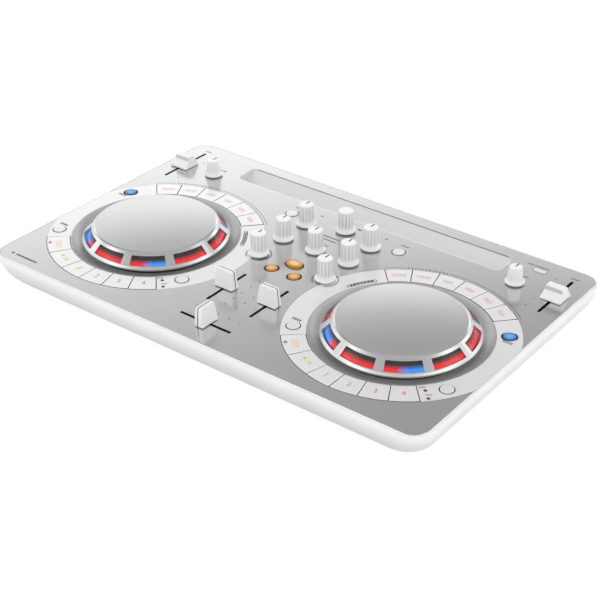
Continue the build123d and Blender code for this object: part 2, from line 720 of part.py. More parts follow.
def make_blade_cap(name, x, y, across, travel):
    """A tapered cap on a flat lever, with a groove for a dark line over it. Its front faces against travel."""
    upright = Plane(origin=(x, y, PLATE_TOP), x_dir=across, z_dir=(-travel[0], -travel[1], 0))
    section = Plane(origin=(x, y, PLATE_TOP), x_dir=travel, z_dir=(travel[1], -travel[0], 0))
    with BuildPart() as cap:
        with BuildSketch(section):
            with BuildLine():
                Polyline(
                    (-CAP_FRONT_FOOT, CAP_LIFT),
                    (-CAP_FRONT_HEAD, CAP_HEIGHT),
                    (CAP_BACK_HEAD, CAP_HEIGHT),
                    (CAP_BACK_FOOT, CAP_LIFT),
                    close=True,
                )
            make_face()
        extrude(amount=CAP_WIDTH / 2, both=True)
        with BuildSketch(upright):
            add(cap_outline())
        extrude(amount=CAP_WIDTH, both=True, mode=Mode.INTERSECT)
        faces = cap.faces()
        front = faces.sort_by(Axis((x, y, 0), (*travel[:2], 0)))[0]
        back = faces.sort_by(Axis((x, y, 0), (*travel[:2], 0)))[-1]
        rims = front.edges() + back.edges()
        fillet(rims.filter_by(lambda edge: edge.center().Z > PLATE_TOP + CAP_LIFT + CAP_EDGE), radius=CAP_EDGE)
        with BuildSketch(upright.offset(-CAP_LINE_WIDTH / 2)):
            with Locations((0, CAP_HEIGHT / 2)):
                Rectangle(2 * CAP_WIDTH, 2 * CAP_HEIGHT)
            add(cap_outline(CAP_LINE_DEPTH), mode=Mode.SUBTRACT)
        extrude(amount=CAP_LINE_WIDTH, mode=Mode.SUBTRACT)
        with BuildSketch(Plane(origin=(x, y, LEVER_BOTTOM), x_dir=across, z_dir=(0, 0, 1))):
            Rectangle(LEVER_WIDTH, CAP_LEVER_LENGTH)
        extrude(amount=PLATE_TOP + CAP_LIFT - LEVER_BOTTOM)
    save(cap, name)


make_blade_cap("left_channel_fader_cap", -CHANNEL_SLOT[0], CHANNEL_CAP_Y, (1, 0, 0), (0, 1, 0))
make_blade_cap("right_channel_fader_cap", CHANNEL_SLOT[0], CHANNEL_CAP_Y, (1, 0, 0), (0, 1, 0))
make_blade_cap("crossfader_cap", CROSS_CAP_X, CROSS_SLOT[1], (0, 1, 0), (-1, 0, 0))


def make_tempo_cap(name, x, y):
    """A low cap with a scooped front ramp for the fingertip and a ridge behind it."""
    with BuildPart() as cap:
        with BuildSketch(Plane(origin=(x, y, PLATE_TOP), x_dir=(0, 1, 0), z_dir=(1, 0, 0))):
            with BuildLine():
                ramp = ThreePointArc(TEMPO_CAP_FRONT, TEMPO_RAMP_MIDDLE, TEMPO_RAMP_HEAD)
                Polyline(
                    ramp @ 1,
                    *TEMPO_RIDGE,
                    TEMPO_CAP_REAR,
                    (TEMPO_CAP_REAR[0], TEMPO_CAP_LIFT),
                    (TEMPO_CAP_FRONT[0], TEMPO_CAP_LIFT),
                    ramp @ 0,
                )
            make_face()
        extrude(amount=TEMPO_CAP_WIDTH / 2, both=True)
        # Narrower at the top than at the foot
        foot = TEMPO_CAP_WIDTH / 2
        head = TEMPO_CAP_TOP_WIDTH / 2
        with BuildSketch(Plane(origin=(x, y, PLATE_TOP), x_dir=(1, 0, 0), z_dir=(0, -1, 0))):
            Polygon(
                (-foot, TEMPO_CAP_LIFT),
                (foot, TEMPO_CAP_LIFT),
                (head, TEMPO_CAP_HEIGHT),
                (-head, TEMPO_CAP_HEIGHT),
                align=None,
            )
        extrude(amount=TEMPO_CAP_WIDTH, both=True, mode=Mode.INTERSECT)
        side_faces = cap.faces().sort_by(Axis.X)
        rims = side_faces[0].edges() + side_faces[-1].edges()
        upper_rims = rims.filter_by(lambda edge: edge.center().Z > PLATE_TOP + TEMPO_CAP_FRONT[1])
        fillet(upper_rims, radius=TEMPO_CAP_EDGE)
        with BuildSketch(Plane((x, y, LEVER_BOTTOM))):
            Rectangle(LEVER_WIDTH, LEVER_LENGTH)
        extrude(amount=PLATE_TOP + TEMPO_CAP_LIFT - LEVER_BOTTOM)
    save(cap, name)


make_tempo_cap("left_tempo_fader_cap", -TEMPO_SLOT[0], TEMPO_CAP_Y)
make_tempo_cap("right_tempo_fader_cap", TEMPO_SLOT[0], TEMPO_CAP_Y)


# ---------------------------------------------------------------- jog platters
def window_space(deck_x):
    """What the windows take out of a platter: sectors of a band that is square to the sloping side."""
    foot_x, foot_z = PLATTER_SLOPE_FOOT
    head_x, head_z = PLATTER_SLOPE_HEAD
    slope_length = math.hypot(head_z - foot_z, foot_x - head_x)
    outward = ((head_z - foot_z) / slope_length, (foot_x - head_x) / slope_length)
    corners = []
    for height, reaches in ((WINDOW_BOTTOM, (PLATTER_WALL, -2 * PLATTER_WALL)),
                            (WINDOW_TOP, (-2 * PLATTER_WALL, PLATTER_WALL))):
        radius = foot_x - (height - foot_z) * (foot_x - head_x) / (head_z - foot_z)
        for reach in reaches:
            corners.append((radius + reach * outward[0], PLATE_TOP + height + reach * outward[1]))
    with BuildPart() as windows:
        with BuildSketch(deck_section(deck_x)):
            Polygon(*corners, align=None)
        revolve(axis=deck_axis(deck_x))
        with BuildSketch(deck_plane(deck_x, PLATE_TOP - PLATTER_CROWN)):
            for number in range(WINDOW_COUNT):
                middle = (number + 0.5) * 360 / WINDOW_COUNT
                half = WINDOW_ANGLE / 2
                add(ring_sector(HUB_RADIUS, 2 * PLATTER_RADIUS, middle - half, middle + half))
        extrude(amount=3 * PLATTER_CROWN, mode=Mode.INTERSECT)
    return windows.part


def make_platter(name, deck_x):
    """A hollow domed platter with windows round its sloping side, on a hub and spindle."""
    foot_x, foot_z = PLATTER_SLOPE_FOOT
    head_x, head_z = PLATTER_SLOPE_HEAD
    edge_x, edge_z = PLATTER_EDGE
    rim_edge_x, rim_edge_z = PLATTER_RIM_EDGE
    rim_bottom = PLATE_TOP + PLATTER_RIM_BOTTOM
    with BuildPart() as platter:
        with BuildSketch(deck_section(deck_x)):
            with BuildLine():
                rim = Polyline(
                    (foot_x - PLATTER_LIP_WIDTH, rim_bottom),
                    (PLATTER_RADIUS - rim_edge_x, rim_bottom),
                    (PLATTER_RADIUS, rim_bottom + rim_edge_z),
                    (PLATTER_RADIUS, PLATE_TOP + PLATTER_RIM_TOP),
                    (foot_x, PLATE_TOP + foot_z),
                    (head_x, PLATE_TOP + head_z),
                    (edge_x, PLATE_TOP + edge_z),
                )
                # The top is part of a sphere, so it is level over the spindle
                crown = TangentArc((0, PLATE_TOP + PLATTER_CROWN), rim @ 1, tangent=(1, 0))
                Polyline(
                    crown @ 0,
                    (0, PLATE_TOP + HUB_BOTTOM),
                    (HUB_RADIUS, PLATE_TOP + HUB_BOTTOM),
                    (HUB_RADIUS, PLATE_TOP + PLATTER_UNDER_CROWN),
                    (head_x - PLATTER_WALL, PLATE_TOP + PLATTER_UNDER_CROWN),
                    (foot_x - PLATTER_WALL, PLATE_TOP + PLATTER_INNER_FOOT),
                    rim @ 0,
                )
            make_face()
        revolve(axis=deck_axis(deck_x))
        add(window_space(deck_x), mode=Mode.SUBTRACT)
        with BuildSketch(deck_plane(deck_x, SPINDLE_BOTTOM)):
            Circle(SPINDLE_RADIUS)
        extrude(amount=PLATE_TOP + HUB_BOTTOM - SPINDLE_BOTTOM)
    save(platter, name)


for side, deck_x in DECK_X.items():
    make_platter(f"{side}_jog_platter", deck_x)

with BuildPart() as jog_light_guides:
    for deck_x in DECK_X.values():
        with BuildSketch(deck_section(deck_x)):
            with BuildLine():
                Polyline(
                    (GUIDE_INNER, PLATE_TOP - BOWL_DEPTH),
                    (GUIDE_SLOPE_FOOT[0], PLATE_TOP - BOWL_DEPTH),
                    (GUIDE_SLOPE_FOOT[0], PLATE_TOP + GUIDE_SLOPE_FOOT[1]),
                    (GUIDE_SLOPE_HEAD[0], PLATE_TOP + GUIDE_SLOPE_HEAD[1]),
                    (GUIDE_INNER, PLATE_TOP + GUIDE_SLOPE_HEAD[1]),
                    close=True,
                )
            make_face()
        revolve(axis=deck_axis(deck_x))
save(jog_light_guides, "jog_light_guides")


# ---------------------------------------------------------------- circuit boards with what is soldered on them
with BuildPart() as main_board:
    with BuildSketch(Plane.XY.offset(BOARD_Z)):
        with Locations((0, BOARD_FRONT)):
            Rectangle(2 * BOARD_HALF_LENGTH, BOARD_REAR - BOARD_FRONT, align=(Align.CENTER, Align.MIN))
        tab_length = BOARD_HALF_LENGTH - BOARD_TAB_X
        tab_middle = (BOARD_HALF_LENGTH + BOARD_TAB_X) / 2
        with Locations((-tab_middle, BOARD_REAR), (tab_middle, BOARD_REAR)):
            Rectangle(tab_length, BOARD_TAB_REAR - BOARD_REAR, align=(Align.CENTER, Align.MIN))
        with Locations(*[place for place in SCREW_PLACES if place[1] < BOARD_REAR]):
            Circle(POST_RADIUS + BOARD_POST_GAP, mode=Mode.SUBTRACT)
        with Locations(*[(deck_x, DECK_Y) for deck_x in DECK_X.values()]):
            Circle(BEARING_OUTER + BOARD_BEARING_GAP, mode=Mode.SUBTRACT)
    extrude(amount=BOARD_THICK)

with BuildPart() as switches:
    with BuildSketch(Plane.XY.offset(BOARD_TOP)):
        with Locations(*PAD_CENTRES, *ROUND_BUTTONS.values(), MASTER_BUTTON, OVAL_BUTTON):
            Rectangle(SWITCH_SIZE, SWITCH_SIZE)
    extrude(amount=SWITCH_HEIGHT)

with BuildPart() as potentiometers:
    with BuildSketch(Plane.XY.offset(BOARD_TOP)):
        with Locations(*KNOB_PLACES):
            Rectangle(POT_SIZE, POT_SIZE)
    extrude(amount=POT_HEIGHT)
    with BuildSketch(Plane.XY.offset(SHAFT_BOTTOM - SHAFT_END_GAP)):
        with Locations(*KNOB_PLACES):
            Circle(SHAFT_RADIUS + SHAFT_CLEARANCE)
    extrude(amount=POT_HEIGHT, mode=Mode.SUBTRACT)

with BuildPart() as fader_bodies:
    with BuildSketch(Plane.XY.offset(BOARD_TOP)):
        for x, y, length, width in SLOTS:
            with Locations((x, y)):
                along_x = length > width
                body_length = max(length, width) + 2 * FADER_BODY_MARGIN
                Rectangle(
                    body_length if along_x else FADER_BODY_WIDTH,
                    FADER_BODY_WIDTH if along_x else body_length,
                )
    extrude(amount=FADER_BODY_HEIGHT)
    with BuildSketch(Plane.XY.offset(LEVER_BOTTOM - LEVER_END_GAP)):
        for x, y, length, width in SLOTS:
            with Locations((x, y)):
                Rectangle(max(length, FADER_CHANNEL_WIDTH), max(width, FADER_CHANNEL_WIDTH))
    extrude(amount=FADER_BODY_HEIGHT, mode=Mode.SUBTRACT)

with BuildPart() as io_board:
    with BuildSketch(Plane.XY.offset(IO_BOARD_Z)):
        with Locations((0, IO_BOARD_Y)):
            Rectangle(BAY_LENGTH, IO_BOARD_WIDTH)
    extrude(amount=BOARD_THICK)

SOCKET_BASE = IO_BOARD_Z + BOARD_THICK
SOCKET_REAR = BAY_FACE_Y - BAY_WALL - SOCKET_GAP

with BuildPart() as phono_sockets:
    with BuildSketch(Plane.XY.offset(SOCKET_BASE)):
        with Locations(*[(x, SOCKET_REAR) for x in PHONO_PLACES]):
            Rectangle(*PHONO_BODY[:2], align=(Align.CENTER, Align.MAX))
    extrude(amount=PHONO_BODY[2])
    with BuildSketch(Plane.XZ.offset(-SOCKET_REAR)):
        with Locations(*[(x, SOCKET_Z) for x in PHONO_PLACES]):
            Circle(PHONO_RADIUS)
    extrude(amount=SOCKET_REAR - PHONO_END_Y)
    # Ring gap between the outer contact and the insulator, and the centre hole
    with BuildSketch(Plane.XZ.offset(-PHONO_END_Y)):
        with Locations(*[(x, SOCKET_Z) for x in PHONO_PLACES]):
            Circle(PHONO_RADIUS - PHONO_SLEEVE)
            Circle(PHONO_INSERT_RADIUS, mode=Mode.SUBTRACT)
            Circle(PHONO_PIN_HOLE)
    extrude(amount=PHONO_DEPTH, mode=Mode.SUBTRACT)

with BuildPart() as usb_socket:
    with BuildSketch(Plane.XZ.offset(-BAY_FACE_Y)):
        with Locations((USB_X, SOCKET_Z)):
            Rectangle(*USB_SIZE)
    extrude(amount=BAY_FACE_Y - SOCKET_REAR + USB_LENGTH)
    with BuildSketch(Plane.XZ.offset(-BAY_FACE_Y)):
        with Locations((USB_X, SOCKET_Z)):
            Rectangle(*USB_MOUTH)
            Rectangle(*USB_TONGUE, mode=Mode.SUBTRACT)
    extrude(amount=USB_DEPTH, mode=Mode.SUBTRACT)

with BuildPart() as headphone_socket:
    with BuildSketch(Plane.XY.offset(SOCKET_BASE)):
        with Locations((JACK_X, SOCKET_REAR)):
            Rectangle(JACK_BODY[0], JACK_BODY_LENGTH, align=(Align.CENTER, Align.MAX))
    extrude(amount=JACK_BODY[1])
    with BuildSketch(Plane.XZ.offset(-SOCKET_REAR)):
        with Locations((JACK_X, JACK_Z)):
            Circle(JACK_COLLAR)
    extrude(amount=SOCKET_REAR - JACK_END_Y)
    with BuildSketch(Plane.XZ.offset(-JACK_END_Y)):
        with Locations((JACK_X, JACK_Z)):
            Circle(JACK_BORE)
    extrude(amount=JACK_DEPTH, mode=Mode.SUBTRACT)

boards = Compound(
    label="circuit_boards",
    children=[
        piece.part
        for piece in (
            main_board, switches, potentiometers, fader_bodies,
            io_board, phono_sockets, usb_socket, headphone_socket,
        )
    ],
)
export_step(boards, "parts/circuit_boards.step")


# ---------------------------------------------------------------- feet and screws
with BuildPart() as rubber_feet:
    with BuildSketch():
        with GridLocations(*FOOT_PLACES, 2, 2):
            Circle(FOOT_RADIUS)
    extrude(amount=FOOT_HEIGHT)
    fillet(rubber_feet.faces().group_by(Axis.Z)[0].edges(), radius=FOOT_EDGE)
save(rubber_feet, "rubber_feet")

with BuildPart() as case_screws:
    with BuildSketch(Plane.XY.offset(SCREW_HEAD_TOP - SCREW_HEAD_HEIGHT)):
        with Locations(*SCREW_PLACES):
            Circle(SCREW_HEAD_RADIUS)
    extrude(amount=SCREW_HEAD_HEIGHT)
    with BuildSketch(Plane.XY.offset(SCREW_HEAD_TOP)):
        with Locations(*SCREW_PLACES):
            Circle(SCREW_RADIUS)
    extrude(amount=SCREW_TIP - SCREW_HEAD_TOP)
    # Crossed drive recess
    with BuildSketch(Plane.XY.offset(SCREW_HEAD_TOP - SCREW_HEAD_HEIGHT)):
        with Locations(*SCREW_PLACES):
            Rectangle(*SCREW_CROSS)
            Rectangle(*reversed(SCREW_CROSS))
    extrude(amount=SCREW_CROSS_DEPTH, mode=Mode.SUBTRACT)
save(case_screws, "case_screws")
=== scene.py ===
import json
import math

import bmesh
import bpy
from mathutils import Matrix, Vector

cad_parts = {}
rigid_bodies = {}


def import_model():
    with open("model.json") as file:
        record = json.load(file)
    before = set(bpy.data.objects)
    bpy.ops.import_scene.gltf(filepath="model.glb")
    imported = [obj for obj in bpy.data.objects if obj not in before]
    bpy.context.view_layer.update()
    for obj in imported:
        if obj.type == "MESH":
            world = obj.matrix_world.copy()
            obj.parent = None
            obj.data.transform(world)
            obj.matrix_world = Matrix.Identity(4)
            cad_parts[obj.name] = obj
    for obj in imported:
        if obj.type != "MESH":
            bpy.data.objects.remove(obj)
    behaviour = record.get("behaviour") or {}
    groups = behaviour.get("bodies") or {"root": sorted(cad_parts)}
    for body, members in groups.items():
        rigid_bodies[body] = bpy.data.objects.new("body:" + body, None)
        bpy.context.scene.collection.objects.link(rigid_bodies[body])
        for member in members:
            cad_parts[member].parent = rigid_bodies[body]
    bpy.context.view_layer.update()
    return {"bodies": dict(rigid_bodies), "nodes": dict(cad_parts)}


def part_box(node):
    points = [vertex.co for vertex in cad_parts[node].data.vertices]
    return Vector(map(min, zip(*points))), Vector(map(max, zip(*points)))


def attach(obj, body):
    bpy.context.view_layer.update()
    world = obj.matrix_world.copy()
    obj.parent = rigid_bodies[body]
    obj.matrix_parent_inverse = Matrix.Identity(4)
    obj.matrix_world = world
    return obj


# The looks of a compact two-deck DJ controller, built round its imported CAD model. Metres; +X runs along the
# body, +Y to its rear, +Z up. Sizes below are given in millimetres and multiplied by MM.

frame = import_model()

MM = 0.001
# Two heights this close are the same
TOUCH = 1e-5
SIDES = ("left", "right")
PLATE_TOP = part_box("top_panel")[1].z
PLATE_LOW, PLATE_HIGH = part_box("top_panel")


def centre_of(node):
    """The middle of a CAD node's box."""
    low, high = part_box(node)
    return (low + high) / 2


DECKS = {side: centre_of(f"{side}_jog_platter") for side in SIDES}
PADS = ["cue_pad", "play_pad"]
PADS += [f"hot_cue_pad_{number}" for number in range(1, 5)]
PADS += [f"effect_pad_{number}" for number in range(1, 7)]
KNOBS = [name for name in frame["bodies"] if name.endswith("_knob")]
BUTTONS = [name for name in frame["bodies"] if name.endswith("_button")]
BLADE_CAPS = ("left_channel_fader_cap", "right_channel_fader_cap", "crossfader_cap")

# Printed marks stand a little above the surface and reach a little into it
INK_RISE = 0.03 * MM
INK_DEPTH = 0.02 * MM

# The tablet groove: half its length, its middle across, its front and rear edges, the radius of its corners
GROOVE_HALF = 127.5 * MM
GROOVE_MIDDLE = -0.5 * MM
GROOVE_FRONT = 86.3 * MM
GROOVE_REAR = 110.0 * MM
GROOVE_CORNER = 6.0 * MM

# The camera, at the front right. Its target is the point at the middle of the view before the shift
CAMERA_AZIMUTH = math.radians(36.35)
CAMERA_ELEVATION = math.radians(31.65)
CAMERA_ROLL = math.radians(0.45)
CAMERA_TARGET = Vector((53.8, -20.2, 32.0)) * MM
CAMERA_DISTANCE = 0.9973
CAMERA_LENS = 83.28
CAMERA_SENSOR = 36.0
CAMERA_SHIFT_X = -0.0573


# ------------------------------------------------------------------ material helpers
def new_material(name):
    """A material with one Principled shader. Returns the material, its node tree and the shader."""
    material = bpy.data.materials.new(name)
    material.use_nodes = True
    tree = material.node_tree
    return material, tree, tree.nodes["Principled BSDF"]


def add_node(tree, kind, inputs=None, **settings):
    """A node with its settings and its inputs, each a value or another node's output."""
    made = tree.nodes.new(kind)
    for key, value in settings.items():
        setattr(made, key, value)
    for key, value in (inputs or {}).items():
        if isinstance(value, bpy.types.NodeSocket):
            tree.links.new(value, made.inputs[key])
        else:
            made.inputs[key].default_value = value
    return made


def place(tree):
    """The point being shaded, in the object's own space, in metres."""
    return add_node(tree, "ShaderNodeTexCoord").outputs["Object"]


def noise(tree, size, detail=2.0):
    """Noise with features of about that size in millimetres."""
    made = add_node(
        tree, "ShaderNodeTexNoise", {"Vector": place(tree), "Scale": 1 / (size * MM), "Detail": detail}
    )
    return made.outputs["Fac"]


def maths(tree, operation, *values):
    """One step of arithmetic on values or other nodes' outputs."""
    return add_node(tree, "ShaderNodeMath", dict(enumerate(values)), operation=operation).outputs[0]


def spread(tree, factor, low, high, start=0.3, end=0.7):
    """A factor stretched from start..end to low..high."""
    made = add_node(
        tree, "ShaderNodeMapRange",
        {"Value": factor, "From Min": start, "From Max": end, "To Min": low, "To Max": high},
    )
    return made.outputs["Result"]


def blend_colours(tree, factor, first, second):
    """One colour fading into another by a factor."""
    made = add_node(tree, "ShaderNodeMix", data_type="RGBA")
    tree.links.new(factor, made.inputs["Factor"])
    for key, colour in (("A", first), ("B", second)):
        socket = [s for s in made.inputs if s.name == key and s.type == "RGBA"][0]
        if isinstance(colour, bpy.types.NodeSocket):
            tree.links.new(colour, socket)
        else:
            socket.default_value = (*colour, 1)
    return [s for s in made.outputs if s.type == "RGBA"][0]


def finish(name, colour, shade, grain, roughness, rough_spread, bump, patch=25.0, **sockets):
    """A surface with fine grain in its height and roughness, and broad soft patches in its colour."""
    material, tree, shader = new_material(name)
    fine = noise(tree, grain)
    broad = noise(tree, patch, 3.0)
    patches = spread(tree, broad, 0, 1)
    tree.links.new(blend_colours(tree, patches, colour, shade), shader.inputs["Base Color"])
    mixed = maths(tree, "ADD", fine, broad)
    rough = spread(tree, mixed, roughness - rough_spread, roughness + rough_spread, 0.6, 1.4)
    tree.links.new(rough, shader.inputs["Roughness"])
    bumped = add_node(
        tree, "ShaderNodeBump", {"Height": fine, "Strength": bump, "Distance": grain * 0.1 * MM}
    )
    tree.links.new(bumped.outputs["Normal"], shader.inputs["Normal"])
    for key, value in sockets.items():
        shader.inputs[key.replace("_", " ")].default_value = value
    return material


# ------------------------------------------------------------------ materials
def panel_metal():
    """Satin silver paint on the top panel, with a fine metallic grain."""
    return finish(
        "panel_metal", (0.72, 0.72, 0.723), (0.70, 0.70, 0.703), 0.3, 0.21, 0.012, 0.10, patch=60.0,
        Metallic=1.0,
    )


def platter_metal():
    """Satin silver of the jog platters, with a fine sparkle."""
    return finish(
        "platter_metal", (0.69, 0.69, 0.693), (0.67, 0.67, 0.673), 0.35, 0.26, 0.015, 0.16, patch=60.0,
        Metallic=1.0,
    )


def bowl_metal():
    """The dished bowl round each platter: the panel's metal, a little rougher and darker."""
    return finish(
        "bowl_metal", (0.52, 0.52, 0.523), (0.49, 0.49, 0.493), 0.35, 0.34, 0.02, 0.15, patch=40.0,
        Metallic=0.35,
    )


def groove_paint():
    """The lighter satin paint inside the tablet groove."""
    return finish(
        "groove_paint", (0.80, 0.80, 0.802), (0.78, 0.78, 0.782), 0.35, 0.30, 0.02, 0.10, patch=60.0,
        Metallic=0.25,
    )


def white_plastic(name, colour, shade, roughness, grain=0.5, bump=0.12, coat=0.0, pearl=0.0):
    """Moulded white plastic, with a share of metallic pearl."""
    return finish(
        name, colour, shade, grain, roughness, 0.02, bump, patch=50.0,
        Coat_Weight=coat, Coat_Roughness=0.08, Metallic=pearl,
    )


# Painted shade on the case: its colour is at its darkest below the first height and fully white above the
# second
SHELL_SHADE_FULL = 9 * MM
SHELL_SHADE_ENDS = 31 * MM


def shell_plastic():
    """Glossy white plastic of the case, rougher low down, where it curves under, with painted shade darkening
    its colour there.
    """
    material, tree, shader = new_material("shell_plastic")
    height = add_node(tree, "ShaderNodeSeparateXYZ", {"Vector": place(tree)}).outputs["Z"]
    rise = spread(tree, height, 0, 1, SHELL_SHADE_FULL, SHELL_SHADE_ENDS)
    patches = spread(tree, noise(tree, 50.0, 3.0), 0.0, 0.08)
    level = maths(tree, "SUBTRACT", rise, patches)
    # Painted shade: the case's colour fades from white to grey low down
    shown = blend_colours(tree, level, (0.34, 0.34, 0.34), (0.88, 0.88, 0.88))
    tree.links.new(shown, shader.inputs["Base Color"])
    tree.links.new(spread(tree, rise, 0.42, 0.15, 0, 1), shader.inputs["Roughness"])
    shader.inputs["Specular IOR Level"].default_value = 0.4
    shader.inputs["Coat Weight"].default_value = 0.35
    shader.inputs["Coat Roughness"].default_value = 0.08
    ripple = add_node(
        tree, "ShaderNodeBump", {"Height": noise(tree, 1.6), "Strength": 0.03, "Distance": 0.16 * MM}
    )
    tree.links.new(ripple.outputs["Normal"], shader.inputs["Normal"])
    return material


BUTTON_GLOW = 0.08


def lit_button(name, centre, radii, edge, pale):
    """A translucent button that is lit from inside, with a painted highlight: pale in its middle and deeper
    towards its edge.
    """
    material, tree, shader = new_material(name)
    offset = add_node(tree, "ShaderNodeVectorMath", {0: place(tree), 1: centre}, operation="SUBTRACT")
    scale = (1 / radii[0], 1 / radii[1], 0)
    scaled = add_node(tree, "ShaderNodeVectorMath", {0: offset.outputs[0], 1: scale}, operation="MULTIPLY")
    reach = add_node(tree, "ShaderNodeVectorMath", {0: scaled.outputs[0]}, operation="LENGTH")
    level = spread(tree, reach.outputs["Value"], 1, 0, 0.35, 0.97)
    mottled = maths(tree, "MULTIPLY", level, spread(tree, noise(tree, 3.0), 0.8, 1.0))
    # Painted highlight: the colour pales towards the button's middle
    shown = blend_colours(tree, mottled, edge, pale)
    tree.links.new(shown, shader.inputs["Base Color"])
    tree.links.new(shown, shader.inputs["Emission Color"])
    shader.inputs["Emission Strength"].default_value = BUTTON_GLOW
    tree.links.new(spread(tree, noise(tree, 0.8), 0.16, 0.26), shader.inputs["Roughness"])
    shader.inputs["Subsurface Weight"].default_value = 0.15
    shader.inputs["Subsurface Radius"].default_value = (0.002, 0.002, 0.002)
    return material


# The glow of the light guides: its colours, and the radii between which it rises to its full brightness
GLOW_RED = (0.80, 0.004, 0.010)
GLOW_BLUE = (0.02, 0.28, 0.92)
GLOW_OFF = (0.012, 0.008, 0.009)
GLOW_STARTS = 47.4 * MM
GLOW_FULL = 51.4 * MM
GLOW_CURVE = 2.5
GLOW_STRENGTH = 1.9


def light_guide():
    """The lit ring under each platter: red, with blue at the four diagonals, and dark towards its inside."""
    material, tree, shader = new_material("light_guide")
    split = add_node(tree, "ShaderNodeSeparateXYZ", {"Vector": place(tree)}).outputs
    # Both decks are the same distance from the middle, so the distance from it serves for both
    across = maths(tree, "SUBTRACT", maths(tree, "ABSOLUTE", split["X"]), DECKS["right"].x)
    along = maths(tree, "SUBTRACT", split["Y"], DECKS["right"].y)
    turns = maths(tree, "MULTIPLY", maths(tree, "ARCTAN2", along, across), 4.0)
    redness = spread(tree, maths(tree, "COSINE", turns), 0, 1, -0.92, -0.55)
    hue = blend_colours(tree, redness, GLOW_BLUE, GLOW_RED)
    speckle = spread(tree, noise(tree, 2.5), 0.85, 1.1)
    squares = maths(tree, "MULTIPLY_ADD", across, across, maths(tree, "MULTIPLY", along, along))
    edge = spread(tree, maths(tree, "SQRT", squares), 0, 1, GLOW_STARTS, GLOW_FULL)
    edge = maths(tree, "POWER", edge, GLOW_CURVE)
    foot = spread(tree, split["Z"], 0.25, 1, PLATE_TOP - 0.2 * MM, PLATE_TOP + 0.5 * MM)
    level = maths(tree, "MULTIPLY", maths(tree, "MULTIPLY", edge, speckle), foot)
    shown = blend_colours(tree, level, GLOW_OFF, hue)
    tree.links.new(shown, shader.inputs["Emission Color"])
    tree.links.new(shown, shader.inputs["Base Color"])
    shader.inputs["Emission Strength"].default_value = GLOW_STRENGTH
    tree.links.new(spread(tree, noise(tree, 0.6), 0.2, 0.35), shader.inputs["Roughness"])
    return material


def smoked_window():
    """Thin dark see-through plastic."""
    material, tree, shader = new_material("smoked_window")
    shown = blend_colours(tree, noise(tree, 4.0), (0.09, 0.08, 0.082), (0.10, 0.09, 0.092))
    tree.links.new(shown, shader.inputs["Base Color"])
    tree.links.new(spread(tree, noise(tree, 6.0), 0.04, 0.08), shader.inputs["Roughness"])
    shader.inputs["Alpha"].default_value = 0.32
    shader.inputs["IOR"].default_value = 1.5
    return material


def ink(name, colour, roughness=0.45, glow=0.0):
    """Printed ink: slightly uneven in colour, with a soft sheen."""
    material, tree, shader = new_material(name)
    shade = tuple(min(1.0, c * 1.18) for c in colour)
    shown = blend_colours(tree, noise(tree, 0.8), colour, shade)
    tree.links.new(shown, shader.inputs["Base Color"])
    rough = spread(tree, noise(tree, 0.4), roughness - 0.06, roughness + 0.06)
    tree.links.new(rough, shader.inputs["Roughness"])
    if glow:
        tree.links.new(shown, shader.inputs["Emission Color"])
        shader.inputs["Emission Strength"].default_value = glow
    return material


def board_green():
    """Solder mask over copper tracks, which show as slightly lighter stripes."""
    material, tree, shader = new_material("board_green")
    tracks = add_node(
        tree, "ShaderNodeTexVoronoi", {"Vector": place(tree), "Scale": 1 / (4 * MM)},
        feature="DISTANCE_TO_EDGE",
    )
    edge = spread(tree, tracks.outputs["Distance"], 1, 0, 0.02, 0.06)
    shown = blend_colours(tree, edge, (0.012, 0.075, 0.035), (0.02, 0.13, 0.06))
    tree.links.new(shown, shader.inputs["Base Color"])
    tree.links.new(spread(tree, noise(tree, 1.0), 0.25, 0.4), shader.inputs["Roughness"])
    return material


def dark_part(name, colour, roughness):
    """Black or grey moulded plastic or rubber; also black and grey painted shade."""
    return finish(name, colour, tuple(c * 1.3 for c in colour), 0.6, roughness, 0.06, 0.3)


PANEL_METAL = panel_metal()
PLATTER_METAL = platter_metal()
BOWL_METAL = bowl_metal()
GROOVE_PAINT = groove_paint()
SHELL_WHITE = shell_plastic()
RING_WHITE = white_plastic(
    "ring_plastic", (0.90, 0.90, 0.90), (0.89, 0.89, 0.892), 0.24, bump=0.08, pearl=0.42
)
PAD_WHITE = white_plastic(
    "pad_plastic", (0.92, 0.92, 0.916), (0.91, 0.91, 0.906), 0.24, bump=0.08, pearl=0.42
)
KNOB_WHITE = white_plastic("knob_plastic", (0.91, 0.91, 0.91), (0.90, 0.90, 0.902), 0.22, 0.4, 0.08, 0.15)
# Painted shade in the flutes of the tall knobs: the knobs' white plastic, darkened to grey
FLUTE_SHADE_GREY = white_plastic("knob_flute_shade", (0.70, 0.70, 0.70), (0.68, 0.68, 0.682), 0.34, 0.4, 0.08)
CAP_WHITE = white_plastic("cap_plastic", (0.89, 0.89, 0.89), (0.88, 0.88, 0.882), 0.25, 0.4, 0.08, 0.1)
BUTTON_WHITE = white_plastic("button_white", (0.85, 0.85, 0.85), (0.84, 0.84, 0.842), 0.22, pearl=0.3)
LIGHT_GUIDE = light_guide()
SMOKE = smoked_window()
BOARD_GREEN = board_green()
PART_BLACK = dark_part("part_black", (0.012, 0.012, 0.013), 0.45)
# Painted shade: the walls of holes and gaps, the pads' sides and the groove's rear step are painted black
GAP_SHADE_BLACK = dark_part("gap_shade_black", (0.010, 0.010, 0.011), 0.6)
# Painted shade: the steep step of each white tempo cap is painted grey
STEP_SHADE_GREY = dark_part("cap_step_shade", (0.50, 0.50, 0.505), 0.4)
RUBBER = dark_part("foot_rubber", (0.03, 0.03, 0.03), 0.8)
